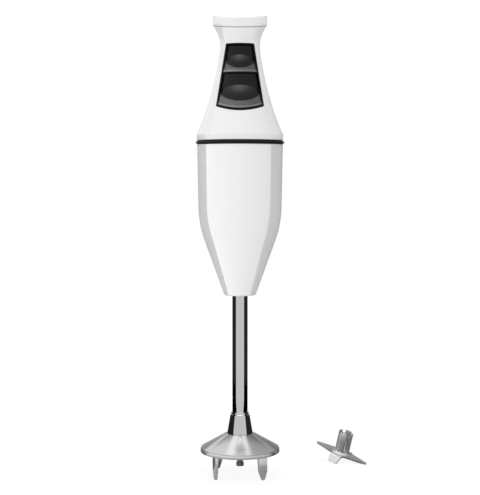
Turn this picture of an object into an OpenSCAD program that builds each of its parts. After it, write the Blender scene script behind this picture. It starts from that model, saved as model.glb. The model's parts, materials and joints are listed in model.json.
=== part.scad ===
// Immersion blender: a stick mixer that stands on the four feet of its bell
// guard, with its cross blade taken off and standing beside it.
// Millimetres. +Z runs up the shaft, the front with the two buttons faces -Y,
// and the origin is on the shaft's axis, level with the tips of the feet.

/* [Guard] */
// Outer radius of the bell guard's rim
guard_r = 29; // [24:0.5:35]
// Distance from the rim down to the tips of the feet
foot_drop = 17.2; // [14:0.2:21]
// Height of the upright rim band
rim_h = 2.5; // [2:0.1:5]
// Slope of the bell's cone, in degrees
bell_slope = 29.7; // [20:0.1:36]
// Thickness of the bell's sheet metal
bell_wall = 1.2; // [0.8:0.1:1.6]
// Width of a foot
foot_w = 7.2; // [5:0.1:9]
// Thickness of a foot
foot_t = 2.2; // [1.2:0.1:2.6]
// Distance from the rim in to the middle of a foot
foot_inset = 5; // [3:0.1:7]
// Radius of the hub at its foot
hub_r = 9.4; // [8.2:0.1:12]
// Height of the hub's taper
hub_h = 13.7; // [9:0.1:18]

/* [Shaft] */
// Outer diameter of the shaft tube
tube_d = 11.4; // [11:0.1:14]
// Wall of the shaft tube
tube_wall = 1; // [0.8:0.1:1.2]
// Length of the shaft tube between the hub and the casing
shaft_len = 86; // [60:1:120]
// Diameter of the drive shaft
drive_d = 6; // [5:0.1:6.6]
// Diameter of the spindle end that carries the blade
spindle_d = 5.6; // [4.6:0.1:5.8]
// Height of the spindle's end above the tips of the feet
spindle_z = 6.3; // [4:0.1:9]

/* [Motor casing] */
// Radius of the casing at its top edge
casing_r = 31.3; // [29.5:0.1:38]
// Height of the casing
casing_h = 110; // [104:1:135]
// Radius of the casing's nose
nose_r = 11.4; // [11:0.1:14]
// Half angle of the nose cone, in degrees
nose_a = 20; // [17:0.5:24]
// Half angle of the barrel, in degrees
barrel_a = 1.1; // [0.5:0.1:2]
// Radius that blends the nose into the barrel
blend_r = 78; // [40:1:100]
// Wall of the casing and of the upper housing
wall = 2.2; // [1.8:0.1:2.7]
// Height of the black seal ring
seal_h = 3; // [2:0.1:5]

/* [Grip] */
// Radius of the grip at its neck
neck_r = 14.4; // [13.5:0.1:17.3]
// Height of the grip from its shoulder to its neck
grip_h = 63.9; // [58:0.1:76]
// Radius of the head under the end cap
head_r = 19.8; // [18:0.1:23.8]
// Height from the neck to the end cap's seam
head_h = 15.5; // [13.5:0.1:18.6]
// Slope of the end cap's seam, in degrees
seam_a = 10.7; // [6:0.1:13]
// Slope of the end cap's top, in degrees
cap_a = 10.9; // [8:0.1:14]
// Height of the end cap above its seam, at the axis
cap_h = 7.7; // [6:0.1:9]

/* [Switch panel] */
// Height of the switch panel
panel_h = 48.8; // [44:0.2:53]
// Half width of the panel at its top
panel_top_w = 10.2; // [9:0.1:11]
// Half width of the panel at its bottom
panel_low_w = 17.8; // [15:0.1:19]
// Travel of each button
button_travel = 1.5; // [1:0.1:2]

/* [Motor] */
// Radius of the stator
stator_r = 25; // [22:0.1:25.8]
// Length of the stator's stack
stack_h = 30; // [24:1:33]
// Radius of the armature
armature_r = 14.5; // [12:0.1:16]
// Radius of the commutator
commutator_r = 9.5; // [8:0.1:10.5]

/* [Blade] */
// Radius from the blade's axis to the tips of its long wings
blade_r = 22.5; // [19:0.1:23]
// Height of the blade's tube
blade_tube_h = 18; // [15:0.5:20]
// Inner diameter of the blade's tube
blade_bore_d = 9.9; // [9.4:0.1:10.8]
// Wall of the blade's tube
blade_wall = 0.65; // [0.5:0.05:0.9]
// Thickness of the blade's sheet
blade_t = 1.2; // [0.8:0.1:1.6]
// Drop of the short wings below the sheet
wing_drop = 5; // [4:0.1:6]
// Distance from the shaft's axis to the loose blade, to the right
blade_x = 78; // [64:1:94]
// Distance from the shaft's axis to the loose blade, to the rear
blade_y = 40; // [0:1:48]
// Turn of the loose blade about the vertical, in degrees
blade_turn = -35; // [-60:1:0]

/* [Hidden] */
$fn = 64;
eps = 0.01;
far = 60;             // reach of a cutting block, past the widest piece

// Clearances
seat_gap = 0.05;      // between pieces that are fitted and don't move
run_gap = 0.04;       // radial, between a turning shaft and its bush
slide_gap = 0.3;      // around a button in its window
clear_gap = 0.5;      // between pieces that move past each other

// Guard
groove_h = 0.4;       // height of the groove above the rim band
groove_d = 0.5;       // depth of that groove
rim_z = foot_drop;
cone_z = rim_z + rim_h + groove_h;
cone_top_r = hub_r + 0.6;
hub_z = cone_z + (guard_r - cone_top_r) * tan(bell_slope);
hub_top_r = tube_d / 2 + 1.4;
lip_h = 1.8;
hub_top_z = hub_z + hub_h;
foot_r = guard_r - foot_inset;
foot_turn = 42;       // angle of the first foot from +X
foot_twist = 22;      // turn of each foot's plate from the rim's tangent
foot_tip_r = 1.1;

// Shaft
tube_r = tube_d / 2;
tube_in_r = tube_r - tube_wall;
tube_z = hub_z + 1.1;
casing_z = hub_top_z + lip_h + shaft_len;
casing_top = casing_z + casing_h;
drive_r = drive_d / 2;
spindle_r = spindle_d / 2;
bush_h = 10;
spindle_neck_r = spindle_r - 0.6;
spindle_ring_h = 2.7; // height of the ring at the spindle's end
spindle_neck_h = 2;   // height of the groove above it
blade_seat = spindle_z + 0.7;
notch_d = 2.4;        // depth of the notches in the blade tube's rim
pin_r = 1;
pin_z = blade_seat + blade_tube_h - notch_d + pin_r;
pin_len = blade_bore_d + 0.9;
shoulder_z = pin_z - pin_r - 0.5;

// Casing
floor_t = 3;
corner_dz = (casing_r - casing_h * tan(barrel_a) - nose_r) / (tan(nose_a) - tan(barrel_a));
corner = [nose_r + corner_dz * tan(nose_a), casing_z + corner_dz];
blend_t = blend_r * tan((nose_a - barrel_a) / 2);
blend_lo = corner - blend_t * [sin(nose_a), cos(nose_a)];
blend_hi = corner + blend_t * [sin(barrel_a), cos(barrel_a)];
blend_c = blend_lo + blend_r * [-cos(nose_a), sin(nose_a)];
blend_n = 8;

// Grip
seal_z = casing_top;
house_z = seal_z + seal_h;
house_r = casing_r + 0.2;
shoulder_h = 4.2;
shoulder_top = house_z + shoulder_h;
neck_z = shoulder_top + grip_h;
grip_lean = 25;       // lean of the grip's side at the shoulder, in degrees
grip_reach = 0.44 * grip_h;
neck_reach = 0.095 * grip_h;
seam_z = neck_z + head_h;
flare_r = (pow(head_r - neck_r, 2) + head_h * head_h) / (2 * (head_r - neck_r));
cap_top_z = seam_z + cap_h;
head_top = cap_top_z + head_r * tan(cap_a);
spigot_r = casing_r - wall - 0.1;
spigot_w = 1.5;
spigot_h = seal_h + 2.5;
cap_spigot_h = 3;
cap_spigot_w = 1.6;

// Switch panel
panel_top = neck_z + 1.3;
panel_z = panel_top - panel_h;
panel_arc = 46.7;     // radius of the panel's bottom edge
bezel_w = 1.1;
bezel_t = 2.5;
bezel_proud = 0.3;
split_z = panel_z + 27.4;
split_gap = 0.6;
button_t = 3.1;       // depth of the buttons' backs under the grip's surface
button_sink = 0.5;    // depth of their faces under it
ridge_h = 1.6;
ridge_proud = 0.8;
pad_proud = 0.6;
oval_n = 40;
upper_pad_z = panel_z + 36.8;
upper_pad_w = 18.6;
upper_pad_h = 9;
lower_pad_z = panel_z + 13.6;
lower_pad_w = 27.2;
lower_pad_h = 10.6;

// Motor, stacked down from the upper bracket's plate
bearing_h = 6;
bearing_r = 9.5;
plate_t = 3;
plate_z = house_z + 1.1;
plate_r = spigot_r - spigot_w - 0.2;
flange_z = plate_z + plate_t;
cup_r = bearing_r + 2.5;
stack_top = plate_z - 18.5;
stack_z = stack_top - stack_h;
coil_over = 4.5;
fan_h = 5;
fan_z = stack_z - coil_over - clear_gap - 1 - fan_h;
fan_r = 18.8;
low_bearing_z = fan_z - 3 - bearing_h;
bracket_z = low_bearing_z - 2;
top_bearing_z = flange_z + 0.5;
bolt_r = 1.5;
yoke_w = 5.5;
bolt_ring = stator_r - yoke_w / 2;
leg_w = 8;
leg_t = 4.5;
air_gap = 0.7;
commutator_z = stack_top + 7;
commutator_h = 10;
brush_z = commutator_z + commutator_h / 2;
brush_w = 4.8;
brush_h = 6.2;
brush_len = 9;
holder_end = plate_r - 3;
motor_shaft_top = top_bearing_z + bearing_h + 1.5;
coupling_r = 7;
coupling_h = 22;
coupling_z = bracket_z - clear_gap - coupling_h;
motor_shaft_z = coupling_z + coupling_h / 2 + clear_gap;
drive_top = motor_shaft_z - 2 * clear_gap;
tube_top = coupling_z - 6;

// Switches, on the front of the carrier
carrier_y = -1;
carrier_t = 2.2;
carrier_z = panel_z - 2.2;
carrier_top = panel_top - 2.5;
micro_w = 6.5;
micro_d = 6;
micro_h = 12.8;
plunger_r = 1.1;
plunger_out = button_travel + 0.4;
plunger_in = 2;
post_r = 2.2;
micro_front = carrier_y - micro_d;
plunger_tip = micro_front - plunger_out;
board_y = carrier_y + carrier_t + 3;
board_t = 1.6;
board_z = carrier_z + 1;
board_h = 30;
board_w = 12;
choke_r = 1.7;

// Loose blade
blade_in_r = blade_bore_d / 2;
blade_out_r = blade_in_r + blade_wall;
blade_fit_r = spindle_r + run_gap;
blade_hub_h = 8;
slot_z = 6;           // foot of the slots in the blade tube's wall
clip_z = spindle_ring_h - 0.7 + spindle_neck_h / 2;
clip_t = 0.6;
clip_gap = 0.5;       // height of the clip's groove above and below its middle
wing_out = 12;        // reach of a short wing's end
wing_end_w = 3.4;     // half width of a short wing's end
blade_lean = atan(wing_drop / (blade_r - wing_end_w));

// ---------- outlines ----------

// Radius of the casing at height z
function casing_at(z) =
    z <= blend_lo[1] ? nose_r + (z - casing_z) * tan(nose_a) :
    z >= blend_hi[1] ? casing_r - (casing_top - z) * tan(barrel_a) :
    blend_c[0] + sqrt(blend_r * blend_r - pow(z - blend_c[1], 2));

// Casing's outline from za to zb, moved in by off
function casing_line(off, za, zb) = concat(
    [[0, za], [casing_at(za) - off, za]],
    [for (i = [0 : blend_n])
        let (a = nose_a + (barrel_a - nose_a) * i / blend_n)
        blend_c + blend_r * [cos(a), -sin(a)] - [off, 0]],
    [[casing_at(zb) - off, zb], [0, zb]]);

// Point at t on the curve that runs from the shoulder up to the neck
function grip_point(t) =
    let (a = [house_r, shoulder_top],
         d = [neck_r, neck_z],
         b = a + grip_reach * [-sin(grip_lean), cos(grip_lean)],
         c = d - [0, neck_reach],
         u = 1 - t)
    u * u * u * a + 3 * u * u * t * b + 3 * u * t * t * c + t * t * t * d;

grip_n = 14;
flare_n = 6;
flare_end = acos(1 - (head_r - neck_r) / flare_r);
grip_side = concat(
    [for (i = [0 : grip_n]) grip_point(i / grip_n)],
    [for (i = [1 : flare_n])
        let (a = flare_end * i / flare_n)
        [neck_r + flare_r * (1 - cos(a)), neck_z + flare_r * sin(a)]]);
grip_table = [for (p = grip_side) [p[1], p[0]]];

// Radius of the grip at height z
function grip_at(z) = lookup(z, grip_table);

// Whole housing's outline from its bottom edge to above the cap, moved in by off
function housing_line(off) = concat(
    [[0, house_z], [house_r - off, house_z]],
    [for (p = grip_side) p - [off, 0]],
    [[head_r - off, head_top + 1], [0, head_top + 1]]);

module housing_form(off) {
    rotate_extrude($fn = 96) polygon(housing_line(off));
}

// Everything above a plane through [0, 0, z] that rises to the rear by angle a
module above(z, a) {
    translate([0, 0, z]) rotate([a, 0, 0]) translate([-far, -far, 0]) cube([2 * far, 2 * far, far]);
}

// Everything below that plane
module below(z, a) {
    translate([0, 0, z]) rotate([a, 0, 0]) translate([-far, -far, -2 * far]) cube(2 * far);
}

module ring(r_out, r_in, z, h) {
    translate([0, 0, z]) difference() {
        cylinder(r = r_out, h = h);
        translate([0, 0, -1]) cylinder(r = r_in, h = h + 2);
    }
}

module rod(r, z, h) {
    translate([0, 0, z]) cylinder(r = r, h = h);
}

// Cylinder along +Y
module rod_y(r, x, y, z, len) {
    translate([x, y, z]) rotate([-90, 0, 0]) cylinder(r = r, h = len);
}

// Cylinder along +X
module rod_x(r, x, y, z, len) {
    translate([x, y, z]) rotate([0, 90, 0]) cylinder(r = r, h = len);
}

module pair() {
    for (a = [0, 180]) rotate([0, 0, a]) children();
}

// Part of a ring between two radii, a0 to a1 degrees round
module sector(r_in, r_out, a0, a1, z, h) {
    translate([0, 0, z]) rotate([0, 0, a0]) rotate_extrude(angle = a1 - a0, $fn = 96)
        translate([r_in, 0]) square([r_out - r_in, h]);
}

// Coil spring along +Z: a round wire swept along a helix
module coil_spring(r, wire_r, len, turns) {
    sides = 6;
    steps = 14;
    n = round(turns * steps);
    points = [for (i = [0 : n], j = [0 : sides - 1])
        let (a = 360 * i / steps,
             z = wire_r + (len - 2 * wire_r) * i / n,
             b = 360 * j / sides)
        [(r + wire_r * cos(b)) * cos(a), (r + wire_r * cos(b)) * sin(a), z + wire_r * sin(b)]];
    sides_of = [for (i = [0 : n - 1], j = [0 : sides - 1])
        let (k = (j + 1) % sides)
        [i * sides + j, i * sides + k, (i + 1) * sides + k, (i + 1) * sides + j]];
    polyhedron(points, concat(
        sides_of,
        [[for (j = [sides - 1 : -1 : 0]) j]],
        [[for (j = [0 : sides - 1]) n * sides + j]]), convexity = 8);
}

// ---------- guard ----------

// One foot in its own plane: a strip whose lower half tapers to a round tip
module foot_shape() {
    tip_x = foot_w * 0.08;
    top = rim_z + rim_h / 2;
    bend = rim_z * 0.38;
    union() {
        polygon([[-foot_w * 0.5, top], [-foot_w * 0.4, bend], [tip_x - foot_tip_r, foot_tip_r],
                 [tip_x + foot_tip_r, foot_tip_r], [foot_w * 0.5, bend], [foot_w * 0.5, top]]);
        translate([tip_x, foot_tip_r]) circle(r = foot_tip_r, $fn = 32);
    }
}

module bell_section() {
    slant = bell_wall / cos(bell_slope);
    polygon([
        [guard_r - bell_wall, rim_z],
        [guard_r, rim_z],
        [guard_r, rim_z + rim_h],
        [guard_r - groove_d, rim_z + rim_h],
        [guard_r - groove_d, cone_z],
        [guard_r, cone_z],
        [cone_top_r, hub_z],
        [tube_r + seat_gap, hub_z],
        [tube_r + seat_gap, hub_z - slant],
        [cone_top_r, hub_z - slant],
        [guard_r - bell_wall, cone_z + bell_wall * tan(bell_slope) - slant]
    ]);
}

module guard_bell() {
    color("silver") union() {
        rotate_extrude($fn = 128) bell_section();
        for (i = [0 : 3]) rotate([0, 0, foot_turn + 90 * i]) translate([foot_r, 0, 0])
            rotate([0, 0, 90 - foot_twist]) intersection() {
                translate([0, foot_t / 2, 0]) rotate([90, 0, 0]) linear_extrude(foot_t) foot_shape();
                translate([-far, -far, 0]) cube([2 * far, 2 * far, rim_z + rim_h / 2]);
            }
        difference() {
            ring(guard_r - bell_wall / 2, foot_r - foot_w / 2, rim_z, rim_h / 2);
            for (i = [0 : 3]) rotate([0, 0, foot_turn + 45 + 90 * i])
                translate([foot_r / 2, -foot_r * 0.52, rim_z - 1]) cube([far, foot_r * 1.04, rim_h + 2]);
        }
    }
}

module guard_hub() {
    color("silver") difference() {
        rotate_extrude() polygon([
            [0, hub_z], [hub_r, hub_z], [hub_r - 0.2, hub_z + 1.5], [hub_top_r, hub_top_z],
            [hub_top_r - 0.6, hub_top_z + 0.3], [hub_top_r - 0.6, hub_top_z + lip_h], [0, hub_top_z + lip_h]]);
        rod(tube_r + seat_gap, hub_z - 1, hub_h + far);
    }
}

// ---------- shaft ----------

module shaft_tube() {
    color("gainsboro") ring(tube_r, tube_in_r, tube_z, tube_top - tube_z);
}

module shaft_seal() {
    color("dimgray") ring(tube_in_r - seat_gap, drive_r + run_gap, tube_z + 0.5, 3);
}

module shaft_bush(z) {
    color("peru") ring(tube_in_r - seat_gap, drive_r + run_gap, z, bush_h);
}

module lower_shaft_bush() {
    shaft_bush(tube_z + 4);
}

module upper_shaft_bush() {
    shaft_bush(tube_top - bush_h);
}

module drive_shaft() {
    neck_z0 = spindle_z + spindle_ring_h;
    color("silver") difference() {
        union() {
            translate([0, 0, spindle_z]) cylinder(r1 = spindle_r - 0.4, r2 = spindle_r, h = 0.4);
            rod(spindle_r, spindle_z + 0.4, spindle_ring_h - 0.4);
            rod(spindle_neck_r, neck_z0 - eps, spindle_neck_h + 2 * eps);
            rod(spindle_r, neck_z0 + spindle_neck_h, shoulder_z - neck_z0 - spindle_neck_h);
            rod(drive_r, shoulder_z, drive_top - shoulder_z);
        }
        rod_y(pin_r, 0, -drive_r - 1, pin_z, drive_d + 2);
    }
}

module drive_pin() {
    color("lightslategray") rod_y(pin_r, 0, -pin_len / 2, pin_z, pin_len);
}

module shaft_coupling() {
    color("darkgoldenrod") difference() {
        union() {
            ring(coupling_r, drive_r, coupling_z, coupling_h);
            ring(coupling_r + 1, coupling_r - 1, coupling_z + coupling_h / 2 - 1.5, 3);
        }
        for (z = [coupling_z + 5, coupling_z + coupling_h - 5]) rod_x(1.2, 3.5, 0, z, far);
    }
}

module shaft_nut() {
    nut_r = casing_at(casing_z + floor_t) - wall - 1.2;
    color("darkgray") difference() {
        rod(nut_r, casing_z + floor_t, 5);
        rod(tube_r + seat_gap, casing_z, far);
        for (a = [0 : 90 : 270]) rotate([0, 0, a])
            translate([nut_r - 1.2, -1.2, casing_z + floor_t + 2]) cube([3, 2.4, 4]);
    }
}

module shaft_o_ring() {
    color("black") translate([0, 0, casing_z + floor_t / 2]) rotate_extrude()
        translate([tube_r + 0.85, 0]) circle(r = 0.8, $fn = 32);
}

// ---------- motor casing ----------

module motor_casing() {
    color("whitesmoke") difference() {
        rotate_extrude($fn = 128) polygon(casing_line(0, casing_z, casing_top));
        rotate_extrude($fn = 128) polygon(casing_line(wall, casing_z + floor_t, casing_top + 1));
        rod(tube_r + seat_gap, casing_z - 1, floor_t + 2);
        ring(tube_r + 1.7, tube_r - 1, casing_z + floor_t / 2 - 0.85, 1.7);
    }
}

module casing_seal() {
    color("black") ring(casing_r + 1, spigot_r + seat_gap, seal_z, seal_h);
}

// ---------- upper housing ----------

// Outline of the switch panel seen from the front, moved in by off
module panel_outline(off) {
    side = (panel_low_w - panel_top_w) / panel_h;
    intersection() {
        polygon([[-panel_top_w + off, panel_top - off], [panel_top_w - off, panel_top - off],
                 [panel_low_w - off + side * off, panel_z - 1], [-panel_low_w + off - side * off, panel_z - 1]]);
        translate([0, panel_z + panel_arc]) circle(r = panel_arc - off, $fn = 128);
    }
}

// Straight block through the front, in the panel's outline
module panel_block(off) {
    rotate([90, 0, 0]) linear_extrude(far) panel_outline(off);
}

// Shell of the grip between two depths under its surface
module grip_shell(off_out, off_in) {
    difference() {
        housing_form(off_out);
        housing_form(off_in);
    }
}

gland_z = neck_z + 6.6;
gland_r = 4.6;
gland_bore = 3.2;
boss_r = 7;
boss_end = neck_r + 3.2;

module housing_cavity() {
    difference() {
        housing_form(wall);
        // ledge that carries the spigot
        ring(far, spigot_r - spigot_w, house_z - 1, 2);
        // ring that the upper bracket is screwed up against
        difference() {
            ring(far, bolt_ring + 0.3, flange_z, 3);
            pair() translate([0, bolt_ring, 0]) rod(3.8, flange_z - 1, 5);
            pair() translate([riser_x, 0, 0]) rod(2, flange_z - 1, 5);
        }
    }
}

module upper_housing() {
    color("whitesmoke") difference() {
        union() {
            difference() {
                housing_form(0);
                above(seam_z - 0.3, seam_a);
            }
            rod_y(boss_r, 0, 8, gland_z, boss_end - 8);
            rod(spigot_r, house_z - spigot_h, spigot_h + 0.5);
        }
        housing_cavity();
        rod(spigot_r - spigot_w, house_z - spigot_h - 1, spigot_h + 2.5);
        panel_block(0);
        rod_y(gland_r + seat_gap, 0, 5, gland_z, far);
        for (a = [45, 225]) rotate([0, 0, a]) translate([bolt_ring + 2.3, 0, 0])
            rod(1.3, flange_z - 1, 3.5);
    }
}

module end_cap() {
    color("whitesmoke") union() {
        difference() {
            housing_form(0);
            below(seam_z + 0.3, seam_a);
            above(cap_top_z, cap_a);
            difference() {
                housing_form(wall + cap_spigot_w);
                above(cap_top_z - wall, cap_a);
            }
        }
        difference() {
            grip_shell(wall + seat_gap, wall + cap_spigot_w);
            below(seam_z - cap_spigot_h, seam_a);
            above(seam_z + 0.5, seam_a);
        }
    }
}

module cap_gasket() {
    color("gray") difference() {
        grip_shell(0.4, wall);
        above(seam_z + 0.3, seam_a);
        below(seam_z - 0.3, seam_a);
    }
}

module cord_gland() {
    inner = grip_at(gland_z) - wall - 1.5;
    color("dimgray") difference() {
        union() {
            rod_y(gland_r, 0, inner, gland_z, boss_end - inner + 1);
            rod_y(gland_r + 1.6, 0, boss_end, gland_z, 2);
        }
        rod_y(gland_bore, 0, 0, gland_z, far);
    }
}

// ---------- switches ----------

module switch_bezel() {
    color("black") difference() {
        intersection() {
            grip_shell(-bezel_proud, bezel_t);
            panel_block(seat_gap);
        }
        panel_block(bezel_w);
    }
}

// Block through the front between two heights, in the button window
module button_block(z0, z1, off) {
    rotate([90, 0, 0]) linear_extrude(far) intersection() {
        panel_outline(off);
        translate([-far, z0]) square([2 * far, z1 - z0]);
    }
}

// Straight block through the front, in the outline of an ellipse
module oval_block(z, w, h) {
    rotate([90, 0, 0]) linear_extrude(far)
        polygon([for (a = [0 : 360 / oval_n : 359]) [w / 2 * cos(a), z + h / 2 * sin(a)]]);
}

module button(z0, z1, pad_z, pad_w, pad_h) {
    off = bezel_w + slide_gap;
    low = max(z0, panel_z + off);
    color("darkslategray") union() {
        intersection() {
            grip_shell(button_sink, button_t);
            button_block(z0, z1, off);
        }
        intersection() {
            grip_shell(-ridge_proud, button_t);
            button_block(low, low + ridge_h, off);
        }
        intersection() {
            grip_shell(-pad_proud, button_t);
            oval_block(pad_z, pad_w, pad_h);
            button_block(z0, z1, off);
        }
        intersection() {
            rod_y(post_r, 0, -far, pad_z, far + plunger_tip);
            housing_form(button_t - 0.5);
        }
    }
}

module upper_button() {
    button(split_z + split_gap / 2, panel_top, upper_pad_z, upper_pad_w, upper_pad_h);
}

module lower_button() {
    button(panel_z, split_z - split_gap / 2, lower_pad_z, lower_pad_w, lower_pad_h);
}

module button_spring(pad_z) {
    rear = -grip_at(pad_z) + button_t + 0.5;
    color("silver") translate([0, rear, pad_z]) rotate([-90, 0, 0])
        coil_spring(3, 0.3, micro_front - 0.1 - rear, 4);
}

module upper_button_spring() {
    button_spring(upper_pad_z);
}

module lower_button_spring() {
    button_spring(lower_pad_z);
}

module switch_carrier() {
    color("ivory") difference() {
        union() {
            intersection() {
                housing_form(wall + 3 * seat_gap);
                translate([-far, carrier_y, carrier_z]) cube([2 * far, carrier_t, carrier_top - carrier_z]);
            }
            for (x = [-board_w + 3, board_w - 3], z = [board_z + 3, board_z + board_h - 3])
                rod_y(1.8, x, carrier_y + carrier_t - eps, z, board_y - carrier_y - carrier_t + eps);
            for (x = [-6, 6]) rod_y(2, x, carrier_y + carrier_t - eps, clamp_z, 3.2 + eps);
        }
        for (x = [-6, 6]) rod_y(1.1, x, carrier_y + 1, clamp_z, 8);
    }
}

module microswitch(z) {
    color("dimgray") difference() {
        translate([-micro_w / 2, micro_front, z - micro_h / 2]) cube([micro_w, micro_d, micro_h]);
        rod_y(plunger_r + 0.1, 0, micro_front - 1, z, plunger_in + button_travel + 1.3);
    }
}

module plunger(z) {
    color("red") rod_y(plunger_r, 0, plunger_tip, z, plunger_out + plunger_in);
}

module upper_microswitch() {
    microswitch(upper_pad_z);
}

module upper_plunger() {
    plunger(upper_pad_z);
}

module lower_microswitch() {
    microswitch(lower_pad_z);
}

module lower_plunger() {
    plunger(lower_pad_z);
}

clamp_z = carrier_top - 5;

module cord_clamp() {
    y = carrier_y + carrier_t + 3.2;
    color("dimgray") difference() {
        translate([-8.5, y, clamp_z - 2.2]) cube([17, 1.8, 4.4]);
        for (x = [-6, 6]) rod_y(1.15, x, y - 1, clamp_z, 4);
    }
}

module clamp_screws() {
    y = carrier_y + carrier_t + 5;
    color("silver") for (x = [-6, 6]) {
        rod_y(1.05, x, y - 6, clamp_z, 6 + eps);
        rod_y(1.9, x, y, clamp_z, 1.2);
    }
}

module control_board() {
    color("darkgreen") difference() {
        translate([-board_w, board_y, board_z]) cube([2 * board_w, board_t, board_h]);
        for (x = [-1, 1]) rod_y(0.9, x * wire_x, board_y - 1, board_z + 2, 4);
    }
}

module suppression_capacitor() {
    color("goldenrod") translate([-10.5, board_y + board_t, board_z + 7]) cube([13, 5.5, 11]);
}

module suppression_chokes() {
    color("saddlebrown") for (x = [5, 9]) translate([x, board_y + board_t + choke_r, board_z + 7])
        cylinder(r = choke_r, h = 11);
}

module terminal_block() {
    color("lightgray") difference() {
        translate([-9, board_y + board_t, board_z + 20.5]) cube([18, 5, 8]);
        for (x = [-5.5, 0, 5.5]) translate([x, board_y + board_t + 2.5, board_z + 22]) cylinder(r = 1.2, h = 10);
    }
}

// ---------- motor ----------

module motor_shaft() {
    color("silver") rod(drive_r, motor_shaft_z, motor_shaft_top - motor_shaft_z);
}

slots = 12;
slot_w = 2.4;
slot_in = armature_r * 0.6;
slot_out = armature_r - 1.1;

module slot_bars(z, h) {
    for (i = [0 : slots - 1]) rotate([0, 0, 360 / slots * i])
        translate([slot_in, -slot_w / 2, z]) cube([slot_out - slot_in, slot_w, h]);
}

module armature_core() {
    color("slategray") difference() {
        ring(armature_r, drive_r, stack_z, stack_h);
        slot_bars(stack_z - 1, stack_h + 2);
        for (i = [0 : slots - 1]) rotate([0, 0, 360 / slots * i])
            translate([slot_out - 1, -0.5, stack_z - 1]) cube([4, 1, stack_h + 2]);
    }
}

module armature_windings() {
    head = coil_over - 0.5;
    color("chocolate") union() {
        slot_bars(stack_z - eps, stack_h + 2 * eps);
        ring(slot_out, drive_r + 1, stack_top, head);
        ring(slot_out, drive_r + 1, stack_z - head, head);
    }
}

module commutator() {
    color("orangered") union() {
        difference() {
            ring(commutator_r, drive_r, commutator_z, commutator_h);
            for (i = [0 : slots - 1]) rotate([0, 0, 360 / slots * (i + 0.5)])
                translate([commutator_r - 1, -0.2, commutator_z - 1]) cube([4, 0.4, commutator_h + 2]);
        }
        ring(drive_r + 3, drive_r, stack_top + coil_over - 0.5, commutator_z - stack_top - coil_over + 0.5 + eps);
    }
}

module cooling_fan() {
    blades = 9;
    color("royalblue") union() {
        ring(6, drive_r, fan_z, fan_h);
        ring(fan_r, 5, fan_z + fan_h - 1.2, 1.2);
        for (i = [0 : blades - 1]) rotate([0, 0, 360 / blades * i])
            translate([9, 0, fan_z]) rotate([0, 0, 25]) translate([0, -0.6, 0]) cube([fan_r - 9.8, 1.2, fan_h - 1]);
    }
}

module bearing_inner(z) {
    color("silver") ring(drive_r + 2.2, drive_r, z, bearing_h);
}

module bearing_outer(z) {
    color("silver") ring(bearing_r, bearing_r - 1.9, z, bearing_h);
}

module bearing_balls(z) {
    in_r = drive_r + 2.2;
    out_r = bearing_r - 1.9;
    color("white") for (i = [0 : 7]) rotate([0, 0, 45 * i])
        translate([(in_r + out_r) / 2, 0, z + bearing_h / 2]) sphere(r = (out_r - in_r) / 2 - 0.05, $fn = 24);
}

module lower_bearing_inner() {
    bearing_inner(low_bearing_z);
}

module lower_bearing_balls() {
    bearing_balls(low_bearing_z);
}

module lower_bearing_outer() {
    bearing_outer(low_bearing_z);
}

module upper_bearing_inner() {
    bearing_inner(top_bearing_z);
}

module upper_bearing_balls() {
    bearing_balls(top_bearing_z);
}

module upper_bearing_outer() {
    bearing_outer(top_bearing_z);
}

// Two bars that run along the motor, in line with its bolts
module bolt_legs(z, h) {
    for (a = [90, 270]) rotate([0, 0, a])
        translate([bolt_ring - leg_t / 2, -leg_w / 2, z]) cube([leg_t, leg_w, h]);
}

module bolt_holes(r, z, h) {
    for (a = [90, 270]) rotate([0, 0, a]) translate([bolt_ring, 0, 0]) rod(r, z, h);
}

module lower_motor_bracket() {
    color("darkgray") difference() {
        union() {
            rod(cup_r, bracket_z, low_bearing_z + bearing_h - bracket_z);
            translate([-leg_w / 2, -bolt_ring - leg_t / 2, bracket_z]) cube([leg_w, 2 * bolt_ring + leg_t, 3]);
            bolt_legs(bracket_z, stack_z - bracket_z);
        }
        rod(bearing_r + seat_gap, low_bearing_z, far);
        rod(drive_r + 2.5, bracket_z - 1, 4);
        bolt_holes(bolt_r + 0.05, stack_z - 13, 14);
    }
}

module upper_motor_bracket() {
    color("darkgray") difference() {
        union() {
            rod(plate_r, plate_z, plate_t);
            rod(cup_r, plate_z, top_bearing_z + bearing_h - plate_z + 2);
            bolt_legs(stack_top, plate_z - stack_top + 1);
        }
        rod(bearing_r + seat_gap, top_bearing_z, bearing_h);
        rod(bearing_r - 1.5, plate_z - 1, 30);
        bolt_holes(bolt_r + 0.05, stack_top - 1, 30);
        for (a = [45, 225]) rotate([0, 0, a]) translate([bolt_ring + 2.3, 0, 0]) rod(1.3, plate_z - 1, 5);
        pair() translate([bolt_ring - 1, -2, plate_z - 1]) cube([far, 4, plate_t + 2]);
    }
}

pole_a = 50;          // half the angle that a pole shoe covers
neck_a = 19;          // half the angle of the pole's neck
shoe_t = 1.9;
pole_r = armature_r + air_gap;

module stator_core() {
    yoke_in = stator_r - yoke_w;
    color("slategray") difference() {
        union() {
            ring(stator_r, yoke_in, stack_z, stack_h);
            pair() sector(pole_r, pole_r + shoe_t, -pole_a, pole_a, stack_z, stack_h);
            pair() sector(pole_r + 0.5, yoke_in + 0.5, -neck_a, neck_a, stack_z, stack_h);
        }
        bolt_holes(bolt_r + 0.1, stack_z - 1, stack_h + 2);
    }
}

module field_coils() {
    in_r = pole_r + shoe_t + 0.15;
    out_r = stator_r - yoke_w - 0.15;
    color("chocolate") pair() difference() {
        sector(in_r, out_r, -pole_a + 1, pole_a - 1, stack_z - coil_over, stack_h + 2 * coil_over);
        sector(in_r - 1, out_r + 1, -neck_a - 1, neck_a + 1, stack_z - 0.3, stack_h + 0.6);
    }
}

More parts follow.
